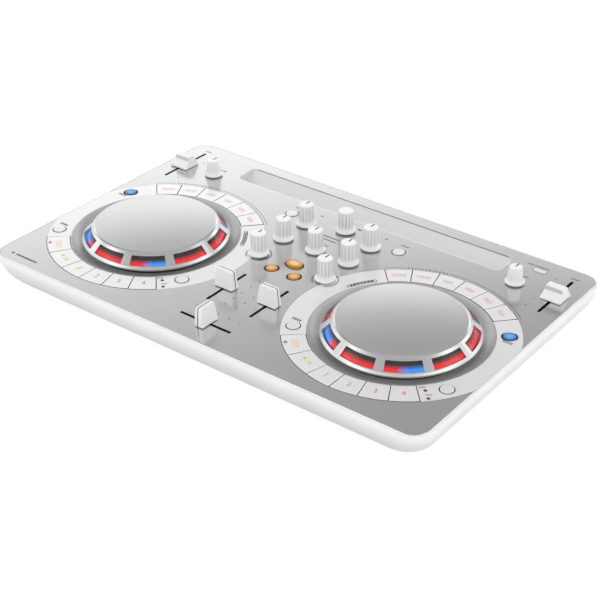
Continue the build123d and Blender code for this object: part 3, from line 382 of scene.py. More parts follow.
# Painted highlight: a bright white strip laid along the groove's edge
HIGHLIGHT_WHITE = white_plastic("groove_trim", (0.93, 0.93, 0.93), (0.91, 0.91, 0.912), 0.3, 0.4, 0.05)
STEEL = finish("screw_steel", (0.55, 0.55, 0.57), (0.5, 0.5, 0.52), 0.3, 0.3, 0.08, 0.3, Metallic=1.0)
SOCKET_METAL = finish(
    "socket_metal", (0.62, 0.62, 0.64), (0.55, 0.55, 0.57), 0.5, 0.22, 0.06, 0.2, Metallic=1.0
)
INSERT_RED = finish("insert_red", (0.55, 0.02, 0.02), (0.5, 0.02, 0.02), 0.5, 0.35, 0.06, 0.2)
INSERT_WHITE = finish("insert_white", (0.8, 0.8, 0.8), (0.75, 0.75, 0.75), 0.5, 0.35, 0.06, 0.2)
# Dark ink of the printed marks, also used for the painted shadow round the buttons' holes
INK_AND_SHADOW_DARK = ink("ink_and_shadow_dark", (0.012, 0.012, 0.013))
INK_GREY = ink("ink_grey", (0.09, 0.09, 0.093))
# Painted light: the coloured inks printed on the pads glow weakly
INK_RED = ink("ink_red", (0.60, 0.12, 0.10), 0.35, 0.12)
INK_PALE_RED = ink("ink_pale_red", (0.60, 0.13, 0.12), 0.35, 0.08)
INK_ORANGE = ink("ink_orange", (0.82, 0.29, 0.03), 0.35, 0.10)
INK_GREEN = ink("ink_green", (0.36, 0.58, 0.02), 0.35, 0.10)
# The pilot lamps' glow is their own light
LED_RED = ink("led_red", (0.20, 0.008, 0.015), 0.15, 0.1)
LED_GREEN = ink("led_green", (0.42, 0.50, 0.08), 0.15, 0.3)


# ------------------------------------------------------------------ mesh helpers
def new_piece(name, body, mesh, materials, smooth_angle=None):
    """Puts a mesh in the scene as a piece that rides on a body."""
    for material in materials:
        mesh.materials.append(material)
    piece = bpy.data.objects.new(name, mesh)
    bpy.context.scene.collection.objects.link(piece)
    if smooth_angle is not None:
        mesh.shade_smooth()
        mesh.set_sharp_from_angle(angle=math.radians(smooth_angle))
    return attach(piece, body)


def piece_from(name, body, bm, *materials, smooth_angle=None):
    """A piece from a finished bmesh, with its faces turned outwards."""
    bmesh.ops.remove_doubles(bm, verts=bm.verts, dist=1e-7)
    bmesh.ops.recalc_face_normals(bm, faces=bm.faces)
    mesh = bpy.data.meshes.new(name)
    bm.to_mesh(mesh)
    bm.free()
    return new_piece(name, body, mesh, materials, smooth_angle)


def prism(bm, outline, low, high, material_index=0):
    """A closed slab over a flat outline of (x, y) points, from one height to another."""
    bottom = [bm.verts.new((x, y, low)) for x, y in outline]
    top = [bm.verts.new((x, y, high)) for x, y in outline]
    faces = [bm.faces.new(reversed(bottom)), bm.faces.new(top)]
    for index in range(len(outline)):
        after = (index + 1) % len(outline)
        faces.append(bm.faces.new((bottom[index], bottom[after], top[after], top[index])))
    for face in faces:
        face.material_index = material_index


def printed(bm, outline, surface, material_index=0):
    """A flat mark on a level surface: ink, and round the buttons' holes painted shadow."""
    prism(bm, outline, surface - INK_DEPTH, surface + INK_RISE, material_index)


def turned(outline, centre, angle=0.0):
    """An outline turned by an angle and moved to a centre."""
    c, s = math.cos(angle), math.sin(angle)
    return [(centre[0] + x * c - y * s, centre[1] + x * s + y * c) for x, y in outline]


def bar(length, width):
    """A rectangle about the origin."""
    x, y = length / 2, width / 2
    return [(-x, -y), (x, -y), (x, y), (-x, y)]


def disc(radius, steps=20):
    """A round outline about the origin."""
    return [
        (radius * math.cos(2 * math.pi * i / steps), radius * math.sin(2 * math.pi * i / steps))
        for i in range(steps)
    ]


def arc_band(inner, outer, start, end):
    """A ring sector about the origin, its angles in degrees."""
    steps = max(2, int(abs(end - start) / 3))
    angles = [math.radians(start + (end - start) * i / steps) for i in range(steps + 1)]
    outward = [(outer * math.cos(a), outer * math.sin(a)) for a in angles]
    inward = [(inner * math.cos(a), inner * math.sin(a)) for a in reversed(angles)]
    return outward + inward


WORD_WIDTH = 0.56
WORD_PITCH = 0.82


def word(bm, centre, angle, count, height, surface, stroke, material_index=0):
    """A row of small frames, every other one open at its foot, that stands in for a printed word."""
    width = height * WORD_WIDTH
    pitch = height * WORD_PITCH
    for index in range(count):
        shift = (index - (count - 1) / 2) * pitch
        parts = [
            (shift - (width - stroke) / 2, 0, stroke, height),
            (shift + (width - stroke) / 2, 0, stroke, height),
            (shift, (height - stroke) / 2, width - 2 * stroke, stroke),
        ]
        if index % 2:
            parts.append((shift, -(height - stroke) / 2, width - 2 * stroke, stroke))
        for x, y, length, depth in parts:
            outline = turned(bar(length, depth), (x, y))
            printed(bm, turned(outline, centre, angle), surface, material_index)


def polar(centre, radius, angle):
    """A point at a radius and an angle in degrees from a centre."""
    turn = math.radians(angle)
    return centre[0] + radius * math.cos(turn), centre[1] + radius * math.sin(turn)


def join_rows(bm, rows):
    """A closed bar along rows of points, each row one of its edges, with a face at both ends."""
    for index, here in enumerate(rows):
        after = rows[(index + 1) % len(rows)]
        for i in range(len(here) - 1):
            bm.faces.new((here[i], here[i + 1], after[i + 1], after[i]))
    bm.faces.new([row[0] for row in rows])
    bm.faces.new([row[-1] for row in reversed(rows)])


def lathe(bm, centre, profile, steps, start=0.0, end=360.0):
    """Revolves a closed profile of (radius, height) points about an upright axis, all round or in part."""
    whole = end - start >= 360.0
    count = steps if whole else steps + 1
    rows = []
    for step in range(count):
        angle = math.radians(start + (end - start) * step / steps)
        rows.append([
            bm.verts.new((centre[0] + r * math.cos(angle), centre[1] + r * math.sin(angle), z))
            for r, z in profile
        ])
    for step in range(steps):
        here, after = rows[step], rows[(step + 1) % count]
        for i in range(len(profile)):
            j = (i + 1) % len(profile)
            corners = []
            for vert in (here[i], after[i], after[j], here[j]):
                if all((vert.co - other.co).length > 1e-8 for other in corners):
                    corners.append(vert)
            if len(corners) > 2:
                bm.faces.new(corners)
    if not whole:
        bm.faces.new(rows[0])
        bm.faces.new(reversed(rows[-1]))


# ------------------------------------------------------------------ CAD nodes take their materials
def paint(node, materials, choose=None):
    """Gives a CAD node its materials. choose picks an index for each face from its middle and its normal."""
    mesh = frame["nodes"][node].data
    mesh.materials.clear()
    for material in materials:
        mesh.materials.append(material)
    if choose is not None:
        for face in mesh.polygons:
            face.material_index = choose(face.center, face.normal)


# The boards inside: their undersides and thickness, and the sockets that stand on the smaller one. Each phono
# socket is given by the index of its insert's material and by its place across
MAIN_BOARD_LOW = 20.0 * MM
SOCKET_BOARD_LOW = 9.0 * MM
BOARD_THICK = 1.6 * MM
PHONO_INSERTS = ((3, 18.0 * MM), (4, 36.0 * MM))
PHONO_HEIGHT = 15.7 * MM
PHONO_FACE = 109 * MM
PHONO_SLEEVE_RADIUS = 4.3 * MM
PHONO_INSERT_RADIUS = 3.2 * MM
USB_FACE = 103 * MM
USB_MIDDLE = -36 * MM
USB_HALF = 6.2 * MM


def board_part(middle, _normal):
    """0 for board, 1 for black plastic, 2 for socket metal, 3 and 4 for the two phono inserts."""
    if MAIN_BOARD_LOW - TOUCH <= middle.z <= MAIN_BOARD_LOW + BOARD_THICK + TOUCH:
        return 0
    if middle.z <= SOCKET_BOARD_LOW + BOARD_THICK + TOUCH:
        return 0
    for index, x in PHONO_INSERTS:
        reach = math.hypot(middle.x - x, middle.z - PHONO_HEIGHT)
        if middle.y > PHONO_FACE and reach < PHONO_SLEEVE_RADIUS:
            return index if reach < PHONO_INSERT_RADIUS else 2
    if middle.y > USB_FACE and abs(middle.x - USB_MIDDLE) < USB_HALF and middle.z < MAIN_BOARD_LOW:
        return 2
    return 1


# A face whose normal rises less than this is the wall of a gap or hole
HOLE_EDGE = 0.5
# How near a face has to be to an outline and to the panel's top to count as on it
SLACK = 0.1 * MM
LEVEL_SLACK = 0.01 * MM
# The bowls' reach and depth, and the width of the panel's rim and the radius of its corners
BOWL_RADIUS = 65.6 * MM
BOWL_DEPTH = 4.6 * MM
PANEL_RIM = 1.0 * MM
PANEL_CORNER = 13.0 * MM


def over_groove(middle):
    """Whether a face of the panel is in the tablet groove."""
    beside = abs(middle.x - GROOVE_MIDDLE) < GROOVE_HALF + SLACK
    return beside and GROOVE_FRONT - SLACK < middle.y < GROOVE_REAR + SLACK


def deck_distance(middle):
    """How far a point is from the nearer deck's centre."""
    return min(math.hypot(middle.x - deck.x, middle.y - deck.y) for deck in DECKS.values())


def panel_part(middle, normal):
    """0 for the flat panel and its outside, 1 for the walls of holes, painted black as shade, 2 for the
    bowls, 3 for the groove.
    """
    if middle.z > PLATE_TOP - LEVEL_SLACK:
        return 0
    if over_groove(middle):
        return 1 if middle.y > GROOVE_REAR - SLACK else 3
    if deck_distance(middle) < BOWL_RADIUS and middle.z > PLATE_TOP - BOWL_DEPTH and normal.z > 0:
        return 2
    across, along = abs(middle.x) - PLATE_HIGH.x, abs(middle.y) - PLATE_HIGH.y
    on_side = max(across, along) > -PANEL_RIM
    corner_reach = math.hypot(max(0, across + PANEL_CORNER), max(0, along + PANEL_CORNER))
    return 0 if on_side or corner_reach > PANEL_CORNER - PANEL_RIM else 1


def hole_wall(_middle, normal):
    """1 for upright faces, which stand in gaps and holes and are painted black as shade, else 0."""
    return 1 if abs(normal.z) < HOLE_EDGE else 0


def ring_part(middle, normal):
    """0 for the ring's top, 1 for its upright edges and the floor of its pockets, which are painted black as
    shade.
    """
    return 0 if middle.z > PLATE_TOP - LEVEL_SLACK and normal.z > HOLE_EDGE else 1


paint("top_panel", [PANEL_METAL, GAP_SHADE_BLACK, BOWL_METAL, GROOVE_PAINT], panel_part)
paint("bottom_shell", [SHELL_WHITE])
paint("deck_rings", [RING_WHITE, GAP_SHADE_BLACK], ring_part)
paint("jog_light_guides", [LIGHT_GUIDE, GAP_SHADE_BLACK], hole_wall)
paint("rubber_feet", [RUBBER])
paint("case_screws", [STEEL])
paint("circuit_boards", [BOARD_GREEN, PART_BLACK, SOCKET_METAL, INSERT_WHITE, INSERT_RED], board_part)
for side in SIDES:
    paint(f"{side}_jog_platter", [PLATTER_METAL])
    for pad in PADS:
        paint(f"{side}_{pad}", [PAD_WHITE, GAP_SHADE_BLACK], hole_wall)


# Knobs at least this tall have flutes in their side. The skin is (radius, height over the panel) at the
# flutes' foot and head, and a flute's faces lie at least so deep under it and are at least so upright
TALL_KNOB = 17.0 * MM
FLUTE_FOOT = Vector((6.15, 5.0)) * MM
FLUTE_HEAD = Vector((5.85, 17.9)) * MM
FLUTE_DEPTH = 0.06 * MM
FLUTE_UPRIGHT = 0.3


def knob_part(middle):
    """Picks the flutes in a tall knob's side (1), which take a grey painted shade, out of the rest of it (0).
    """

    def choose(face, normal):
        share = (face.z - PLATE_TOP - FLUTE_FOOT.y) / (FLUTE_HEAD.y - FLUTE_FOOT.y)
        skin = FLUTE_FOOT.x + share * (FLUTE_HEAD.x - FLUTE_FOOT.x)
        depth = skin - math.hypot(face.x - middle.x, face.y - middle.y)
        return 1 if 0 < share < 1 and abs(normal.z) < FLUTE_UPRIGHT and depth > FLUTE_DEPTH else 0

    return choose


for knob in KNOBS:
    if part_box(knob)[1].z > PLATE_TOP + TALL_KNOB:
        paint(knob, [KNOB_WHITE, FLUTE_SHADE_GREY], knob_part(centre_of(knob)))
    else:
        paint(knob, [KNOB_WHITE])

# Lit buttons: the half sizes of the top, and the colours at its edge and in its middle, the paler middle
# being a painted highlight
ROUND_RADII = (4.8 * MM, 4.8 * MM)
OVAL_RADII = (7.0 * MM, 5.0 * MM)
BLUE_LOOK = (ROUND_RADII, (0.02, 0.15, 0.44), (0.14, 0.42, 0.74))
AMBER_LOOK = (ROUND_RADII, (0.48, 0.19, 0.02), (0.80, 0.50, 0.20))
OVAL_LOOK = (OVAL_RADII, (0.52, 0.22, 0.02), (0.84, 0.62, 0.30))


def button_material(button):
    """A button's own lit material, or the white plastic."""
    if "sync" in button:
        look = BLUE_LOOK
    elif button == "master_monitor_button":
        look = OVAL_LOOK
    elif "_monitor_" in button:
        look = AMBER_LOOK
    else:
        return BUTTON_WHITE
    return lit_button(f"{button}_lit", centre_of(button), *look)


for button in BUTTONS:
    paint(button, [button_material(button)])

TEMPO_STEP_LOW = 5 * MM
TEMPO_STEP_FACING = -0.9


def tempo_cap_part(middle, normal):
    """1 for the steep step between the ramp and the ridge, painted grey as shade, else 0."""
    return 1 if normal.y < TEMPO_STEP_FACING and middle.z > PLATE_TOP + TEMPO_STEP_LOW else 0


for cap in BLADE_CAPS:
    paint(cap, [CAP_WHITE])
for side in SIDES:
    paint(f"{side}_tempo_fader_cap", [CAP_WHITE, STEP_SHADE_GREY], tempo_cap_part)


# ------------------------------------------------------------------ pad legends
NUMBER_SIZE = 6.6 * MM
LEGEND_HEIGHT = 3.3 * MM
CUE_HEIGHT = 4.29 * MM
LEGEND_STROKE = 0.36 * MM


def lowest_middle(node, reach):
    """The middle of a node's lowest points, which are the foot of its stem or lever."""
    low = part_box(node)[0].z
    feet = [v.co for v in frame["nodes"][node].data.vertices if v.co.z < low + reach]
    return sum(feet, Vector()) / len(feet)


def shifted(outline, across, along):
    """An outline moved by millimetres."""
    return turned(outline, (across * MM, along * MM))


def number_legend(name, body, digit, centre, angle, surface):
    """A printed digit."""
    curve = bpy.data.curves.new(name, "FONT")
    curve.body = str(digit)
    curve.size = NUMBER_SIZE
    curve.extrude = (INK_RISE + INK_DEPTH) / 2
    curve.align_x = "CENTER"
    curve.align_y = "CENTER"
    text = bpy.data.objects.new(name, curve)
    mesh = bpy.data.meshes.new_from_object(text)
    bpy.data.objects.remove(text)
    mesh.name = name
    turn = Matrix.Rotation(angle, 4, "Z")
    mesh.transform(Matrix.Translation((centre.x, centre.y, surface)) @ turn)
    return new_piece(name, body, mesh, [INK_RED])


def pad_legend(side, pad):
    """The mark on one pad: a digit, a play and pause sign or a stand-in for a word."""
    node = f"{side}_{pad}"
    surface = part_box(node)[1].z
    middle = lowest_middle(node, TOUCH)
    outward = math.atan2(middle.y - DECKS[side].y, middle.x - DECKS[side].x)
    upper = middle.y > DECKS[side].y
    angle = outward - math.pi / 2 if upper else outward + math.pi / 2
    name = f"{node}_legend"
    if pad.startswith("hot_cue"):
        return number_legend(name, node, pad[-1], middle, angle, surface)
    bm = bmesh.new()
    if pad == "cue_pad":
        word(bm, middle, angle, 3, CUE_HEIGHT, surface, LEGEND_STROKE)
        for across in (-4.1, -2.3):
            outline = shifted(bar(1.2 * MM, 2.4 * MM), across, -6.2)
            printed(bm, turned(outline, middle, angle), surface, 1)
        return piece_from(name, node, bm, INK_ORANGE, INK_GREY)
    if pad == "play_pad":
        triangle = [(-4.6 * MM, -1.7 * MM), (-1.4 * MM, 0), (-4.6 * MM, 1.7 * MM)]
        slash = [(-1.0 * MM, -1.9 * MM), (-0.5 * MM, -1.9 * MM), (0.9 * MM, 1.9 * MM), (0.4 * MM, 1.9 * MM)]
        pause = [shifted(bar(0.9 * MM, 3.4 * MM), across, 0) for across in (2.4, 4.2)]
        for outline in (triangle, slash, *pause):
            printed(bm, turned(outline, middle, angle), surface)
        return piece_from(name, node, bm, INK_GREEN)
    count = 4 if pad in ("effect_pad_1", "effect_pad_2") else 3
    word(bm, middle, angle, count, LEGEND_HEIGHT, surface, LEGEND_STROKE)
    return piece_from(name, node, bm, INK_PALE_RED)


for side in SIDES:
    for pad in PADS:
        pad_legend(side, pad)


# ------------------------------------------------------------------ marks on the rings and the panel
# A pill-shaped outline on each ring, on the mixer's side: where it lies, its size, and the blocks in it
PILL_ANGLES = {"left": 31.0, "right": 149.0}
PILL_RADIUS = 69.4 * MM
PILL_HALF_WIDTH = 1.35 * MM
PILL_HALF_ANGLE = 8.6
PILL_STROKE = 0.6 * MM
PILL_BLOCKS = 7
PILL_PITCH = 2.3


def label(bm, anchor, shift, count, height, stroke, ink_index=1, angle=0.0):
    """A stand-in for a printed word near a control, its place, height and stroke in millimetres."""
    centre = (anchor.x + shift[0] * MM, anchor.y + shift[1] * MM)
    word(bm, centre, angle, count, height * MM, PLATE_TOP, stroke * MM, ink_index)


def pill(bm, side):
    """The pill-shaped outline with its row of blocks."""
    deck, turn = DECKS[side], PILL_ANGLES[side]
    for sign in (-1, 1):
        edge = PILL_RADIUS + sign * PILL_HALF_WIDTH
        band = arc_band(
            edge - PILL_STROKE / 2, edge + PILL_STROKE / 2, turn - PILL_HALF_ANGLE, turn + PILL_HALF_ANGLE
        )
        printed(bm, turned(band, deck), PLATE_TOP)
        end = polar(deck, PILL_RADIUS, turn + sign * PILL_HALF_ANGLE)
        start = turn + (0 if sign > 0 else 180)
        inner, outer = PILL_HALF_WIDTH - PILL_STROKE / 2, PILL_HALF_WIDTH + PILL_STROKE / 2
        printed(bm, turned(arc_band(inner, outer, start, start + 180), end), PLATE_TOP)
    for index in range(PILL_BLOCKS):
        spot = polar(deck, PILL_RADIUS, turn + (index - (PILL_BLOCKS - 1) / 2) * PILL_PITCH)
        block = bar(2.0 * MM, 1.6 * MM)
        printed(bm, turned(block, spot, math.radians(turn) - math.pi / 2), PLATE_TOP)


def ring_marks(side):
    """Legends printed on a deck's ring, beside its buttons and lamps."""
    bm = bmesh.new()
    pill(bm, side)
    label(bm, centre_of(f"{side}_vinyl_button"), (-3.2, 8.0), 4, 2.4, 0.6, 0)
    outward = -2.4 if side == "left" else 2.4
    label(bm, centre_of(f"{side}_sync_button"), (outward, -7.0), 4, 2.4, 0.5, 0)
    mode = centre_of(f"{side}_mode_button")
    for shift in ((-14.5, -7.8), (-6.2, -12.4)):
        label(bm, mode, shift, 4, 1.4, 0.3, 1, math.radians(38))
    return piece_from(f"{side}_ring_marks", "chassis", bm, INK_AND_SHADOW_DARK, INK_GREY)


for side in SIDES:
    ring_marks(side)


# The arc outside the upper pads, and the letters set into it, the first few of them darker. In degrees
ARC_RADIUS = 86.6 * MM
ARC_STROKE = 0.35 * MM
ARC_SPANS = ((47.0, 99.5), (122.0, 132.5))
ARC_LETTERS = 12
ARC_DARK_LETTERS = 4
ARC_WORD_START = 101.2
ARC_WORD_PITCH = 1.75

# Painted shadow in the gap round a button, with wider stretches at a coloured button's two sides: their outer
# radius, the direction in which one of them lies, opposite the other, and half of each one's span, in degrees
GAP_INNER = 5.15 * MM
GAP_OUTER = 5.55 * MM
GAP_WIDE = 6.0 * MM
GAP_TURN = 36
GAP_HALF_SPAN = 48
# The painted shadow round the oval button has only these two stretches
OVAL_GAP_HALF_SPAN = 50
OVAL_GAP_START = 0.35 * MM
OVAL_GAP_WIDTH = 0.6 * MM

DOT_RADIUS = 0.6 * MM
# Scale marks in millimetres: dots beside the faders and behind the crossfader, and a tick behind each knob
TEMPO_DOTS_ASIDE = {"left": 11.5, "right": -11.9}
TEMPO_DOTS_ALONG = (57.5, 69.0, 80.2, 91.0, 102.5)
CHANNEL_DOTS_ACROSS = (-5.5, 5.2)
CHANNEL_DOTS_ALONG = (-18.62, -9.31, 0.49, 10.29, 20.58)
CROSS_DOTS_ACROSS = (-20.5, -10.3, 0.0, 9.8, 19.7)
CROSS_DOTS_BEHIND = 13.4
TICK_BEHIND = 9.4
# The ring round a level knob is open at the front. Its angles are in degrees
LEVEL_RING_RADII = (9.4 * MM, 10.1 * MM)
LEVEL_RING_SPAN = (-58.0, 238.0)
# Knobs with a word, its letters, and how far behind the knob it stands
KNOB_WORDS = (
    ("left_high_knob", 2, 19.0), ("right_high_knob", 2, 19.0), ("master_level_knob", 3, 11.5),
    ("monitor_mix_knob", 5, 11.0), ("monitor_level_knob", 5, 12.5),
)


def deck_arc(bm, deck):
    """The thin printed arc outside the upper pads, with a stand-in for a word set into it."""
    for start, end in ARC_SPANS:
        band = arc_band(ARC_RADIUS - ARC_STROKE / 2, ARC_RADIUS + ARC_STROKE / 2, start, end)
        printed(bm, turned(band, deck), PLATE_TOP)
    for index in range(ARC_LETTERS):
        at = ARC_WORD_START + index * ARC_WORD_PITCH
        ink_index = 0 if index < ARC_DARK_LETTERS else 1
        spot = polar(deck, ARC_RADIUS, at)
        word(bm, spot, math.radians(at - 90), 1, 1.9 * MM, PLATE_TOP, 0.4 * MM, ink_index)


def gap_rings(bm):
    """Painted shadow on the panel round the buttons' holes, wider at the two sides of the coloured ones."""
    for button in BUTTONS:
        if button in ("master_monitor_button", "automix_button"):
            continue
        bands = [(GAP_OUTER, 0, 180), (GAP_OUTER, 180, 360)]
        if "monitor" in button or "sync" in button:
            for turn in (GAP_TURN, GAP_TURN + 180):
                bands.append((GAP_WIDE, turn - GAP_HALF_SPAN, turn + GAP_HALF_SPAN))
        for reach, start, end in bands:
            printed(bm, turned(arc_band(GAP_INNER, reach, start, end), centre_of(button)), PLATE_TOP)
    for turn in (GAP_TURN, GAP_TURN + 180):
        start, end = turn - OVAL_GAP_HALF_SPAN, turn + OVAL_GAP_HALF_SPAN
        band = arc_band(1.0, 1.0 + OVAL_GAP_WIDTH / OVAL_RADII[1], start, end)
        across, along = OVAL_RADII[0] + OVAL_GAP_START, OVAL_RADII[1] + OVAL_GAP_START
        oval = [(x * across, y * along) for x, y in band]
        printed(bm, turned(oval, centre_of("master_monitor_button")), PLATE_TOP)


def dots(bm, places):
    """Small round scale marks."""
    for spot in places:
        printed(bm, turned(disc(DOT_RADIUS, 12), spot), PLATE_TOP, 1)


def panel_marks():
    """Scale marks, rings and word stand-ins printed on the top panel, and painted shadow round button holes.
    """
    bm = bmesh.new()
    gap_rings(bm)
    for side in SIDES:
        deck_arc(bm, DECKS[side])
        label(bm, centre_of(f"{side}_load_button"), (-0.6, 10.4), 6, 1.5, 0.35)
        ring = arc_band(*LEVEL_RING_RADII, *LEVEL_RING_SPAN)
        printed(bm, turned(ring, centre_of(f"{side}_level_knob")), PLATE_TOP)
        tempo = centre_of(f"{side}_tempo_fader_cap")
        label(bm, Vector((tempo.x, PLATE_HIGH.y)), (0.0, -11.2), 5, 1.6, 0.35)
        aside = tempo.x + TEMPO_DOTS_ASIDE[side] * MM
        dots(bm, [(aside, along * MM) for along in TEMPO_DOTS_ALONG])
    for knob in KNOBS:
        middle = centre_of(knob)
        printed(bm, turned(bar(1.6 * MM, 0.6 * MM), (middle.x, middle.y + TICK_BEHIND * MM)), PLATE_TOP, 1)
    for knob, count, behind in KNOB_WORDS:
        label(bm, centre_of(knob), (1.5, behind), count, 1.5, 0.35)
    browse = centre_of("browse_encoder_knob")
    printed(bm, turned(bar(3.4 * MM, 1.5 * MM), (browse.x + 7.4 * MM, browse.y + 8.4 * MM)), PLATE_TOP)
    master = centre_of("master_level_knob")
    label(bm, master, (-3.0, 24.0), 11, 1.7, 0.4)
    label(bm, master, (-1.2, 19.5), 9, 1.6, 0.4)
    channel = centre_of("left_channel_fader_cap")
    for across in CHANNEL_DOTS_ACROSS:
        dots(bm, [(across * MM, channel.y + along * MM) for along in CHANNEL_DOTS_ALONG])
    cross = centre_of("crossfader_cap")
    dots(bm, [(across * MM, cross.y + CROSS_DOTS_BEHIND * MM) for across in CROSS_DOTS_ACROSS])
    label(bm, centre_of("automix_button"), (-4.2, 5.6), 15, 1.5, 0.35)
    # A plain dot and bar near the front left corner
    corner = (PLATE_LOW.x + 13.0 * MM, PLATE_LOW.y + 9.0 * MM)
    printed(bm, turned(disc(1.3 * MM), corner), PLATE_TOP, 1)
    printed(bm, turned(bar(22.0 * MM, 1.6 * MM), (corner[0] + 14.5 * MM, corner[1])), PLATE_TOP, 1)
    return piece_from("panel_marks", "chassis", bm, INK_AND_SHADOW_DARK, INK_GREY)


panel_marks()


LAMP_RISE = 0.35 * MM
LAMP_SINK = 0.4 * MM
RING_LAMP_RADIUS = 1.35 * MM
AUTOMIX_LAMP_RADIUS = 1.2 * MM


def lamp(name, anchor, across, along, radius, material):
    """A small domed pilot lamp set in the surface, some millimetres from a control."""
    steps = 6
    profile = [(0, PLATE_TOP - LAMP_SINK), (radius, PLATE_TOP - LAMP_SINK)]
    for step in range(steps + 1):
        angle = step * math.pi / 2 / steps
        profile.append((radius * math.cos(angle), PLATE_TOP + LAMP_RISE * math.sin(angle)))
    bm = bmesh.new()
    lathe(bm, (anchor.x + across * MM, anchor.y + along * MM), profile, 24)
    return piece_from(name, "chassis", bm, material, smooth_angle=50)


for side in SIDES:
    mode = centre_of(f"{side}_mode_button")
    lamp(f"{side}_lamp_1", mode, -10.7, -9.5, RING_LAMP_RADIUS, LED_RED)
    lamp(f"{side}_lamp_2", mode, -4.2, -15.8, RING_LAMP_RADIUS, LED_RED)
lamp("automix_lamp", centre_of("automix_button"), -13.3, 0.6, AUTOMIX_LAMP_RADIUS, LED_GREEN)


# ------------------------------------------------------------------ painted highlight on the edge of the tablet groove
HIGHLIGHT_WIDTH = 0.7 * MM
HIGHLIGHT_DEPTH = 0.5 * MM
HIGHLIGHT_GAP = 0.02 * MM


def groove_path(inset):
    """The groove's outline round its front and both ends, a little inside it."""
    radius = GROOVE_CORNER - inset
    points = [(GROOVE_HALF - inset, GROOVE_REAR - GROOVE_CORNER)]
    for corner, start in ((1, 0), (-1, 90)):
        for step in range(9):
            angle = math.radians(start + 90 * step / 8)
            points.append((
                corner * (GROOVE_HALF - GROOVE_CORNER) + radius * math.cos(angle),
                GROOVE_FRONT + GROOVE_CORNER - radius * math.sin(angle),
            ))
    points.append((inset - GROOVE_HALF, GROOVE_REAR - GROOVE_CORNER))
    return [(GROOVE_MIDDLE + x, y) for x, y in points]


def groove_trim():
    """A white strip painted as a highlight on the groove's edge, along its front and round its ends."""
    bm = bmesh.new()
    outer, inner = groove_path(HIGHLIGHT_GAP), groove_path(HIGHLIGHT_WIDTH)
    low, high = PLATE_TOP - HIGHLIGHT_DEPTH, PLATE_TOP - HIGHLIGHT_GAP
    rows = [
        [bm.verts.new((x, y, z)) for x, y in path]
        for path, z in ((outer, low), (outer, high), (inner, high), (inner, low))
    ]
    join_rows(bm, rows)
    return piece_from("groove_trim", "chassis", bm, HIGHLIGHT_WHITE)


groove_trim()


# ------------------------------------------------------------------ knob pointers
POINTER_LENGTH = 4.6 * MM
POINTER_WIDTH = 1.18 * MM
POINTER_START = 0.05 * MM
POINTER_FLOOR = 0.35 * MM
POINTER_SINK = 0.06 * MM


def pointer(knob):
    """The painted line in the groove of a knob's top, from its middle to its rear edge."""
    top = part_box(knob)[1].z
    middle = centre_of(knob)
    bm = bmesh.new()
    spot = (middle.x, middle.y + POINTER_LENGTH / 2 + POINTER_START)
    prism(bm, turned(bar(POINTER_WIDTH, POINTER_LENGTH), spot), top - POINTER_FLOOR, top - POINTER_SINK)
    return piece_from(f"{knob}_pointer", knob, bm, INK_AND_SHADOW_DARK)


for knob in KNOBS:
    if knob != "browse_encoder_knob":
        pointer(knob)


# ------------------------------------------------------------------ dark lines of the blade caps
CAP_WIDTH = 16.8 * MM
CAP_TOP_WIDTH = 14.4 * MM
CAP_TOP_CORNER = 2.0 * MM
CAP_LIFT = 0.8 * MM
CAP_HEIGHT = 15.0 * MM
LINE_WIDTH = 0.76 * MM
LINE_SINK = 0.06 * MM
LINE_DEPTH = 0.5 * MM


def cap_path(inset):
    """Points (across, height) up one side of a blade cap, over its top and down the other."""
    foot = CAP_WIDTH / 2 - inset
    head = CAP_TOP_WIDTH / 2 - inset
    top = CAP_HEIGHT - inset
    radius = CAP_TOP_CORNER - inset
    lean = math.atan2(foot - head, top - CAP_LIFT)
    centre_across = head - radius / math.tan((math.pi / 2 + lean) / 2)
    half = [(foot, CAP_LIFT)]
    for step in range(7):
        angle = lean + (math.pi / 2 - lean) * step / 6
        half.append((centre_across + radius * math.cos(angle), top - radius + radius * math.sin(angle)))
    return half + [(-across, height) for across, height in reversed(half)]


def cap_line(cap):
    """The dark line that fills the groove over a blade cap."""
    low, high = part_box(cap)
    middle = (low + high) / 2
    centre = lowest_middle(cap, SLACK)
    along_y = high.x - low.x > high.y - low.y
    outer, inner = cap_path(LINE_SINK), cap_path(LINE_DEPTH)
    bm = bmesh.new()
    rows = []
    for path in (outer, inner):
        for depth in (-LINE_WIDTH / 2, LINE_WIDTH / 2):
            row = []
            for across, height in path:
                if along_y:
                    row.append(bm.verts.new((middle.x + across, centre.y + depth, PLATE_TOP + height)))
                else:
                    row.append(bm.verts.new((centre.x + depth, middle.y + across, PLATE_TOP + height)))
            rows.append(row)
    join_rows(bm, (rows[0], rows[1], rows[3], rows[2]))
    return piece_from(f"{cap}_line", cap, bm, INK_AND_SHADOW_DARK)


for cap in BLADE_CAPS:
    cap_line(cap)


# ------------------------------------------------------------------ smoked windows in the platters
WINDOW_COUNT = 10
WINDOW_ANGLE = 28.3
WINDOW_SKIN = 0.35 * MM
WINDOW_SINK = 1.5 * MM
# (radius, height over the panel) of the platter's skin at the foot and the head of a window
WINDOW_FOOT = (55.42 * MM, 2.53 * MM)
WINDOW_HEAD = (49.48 * MM, 7.97 * MM)


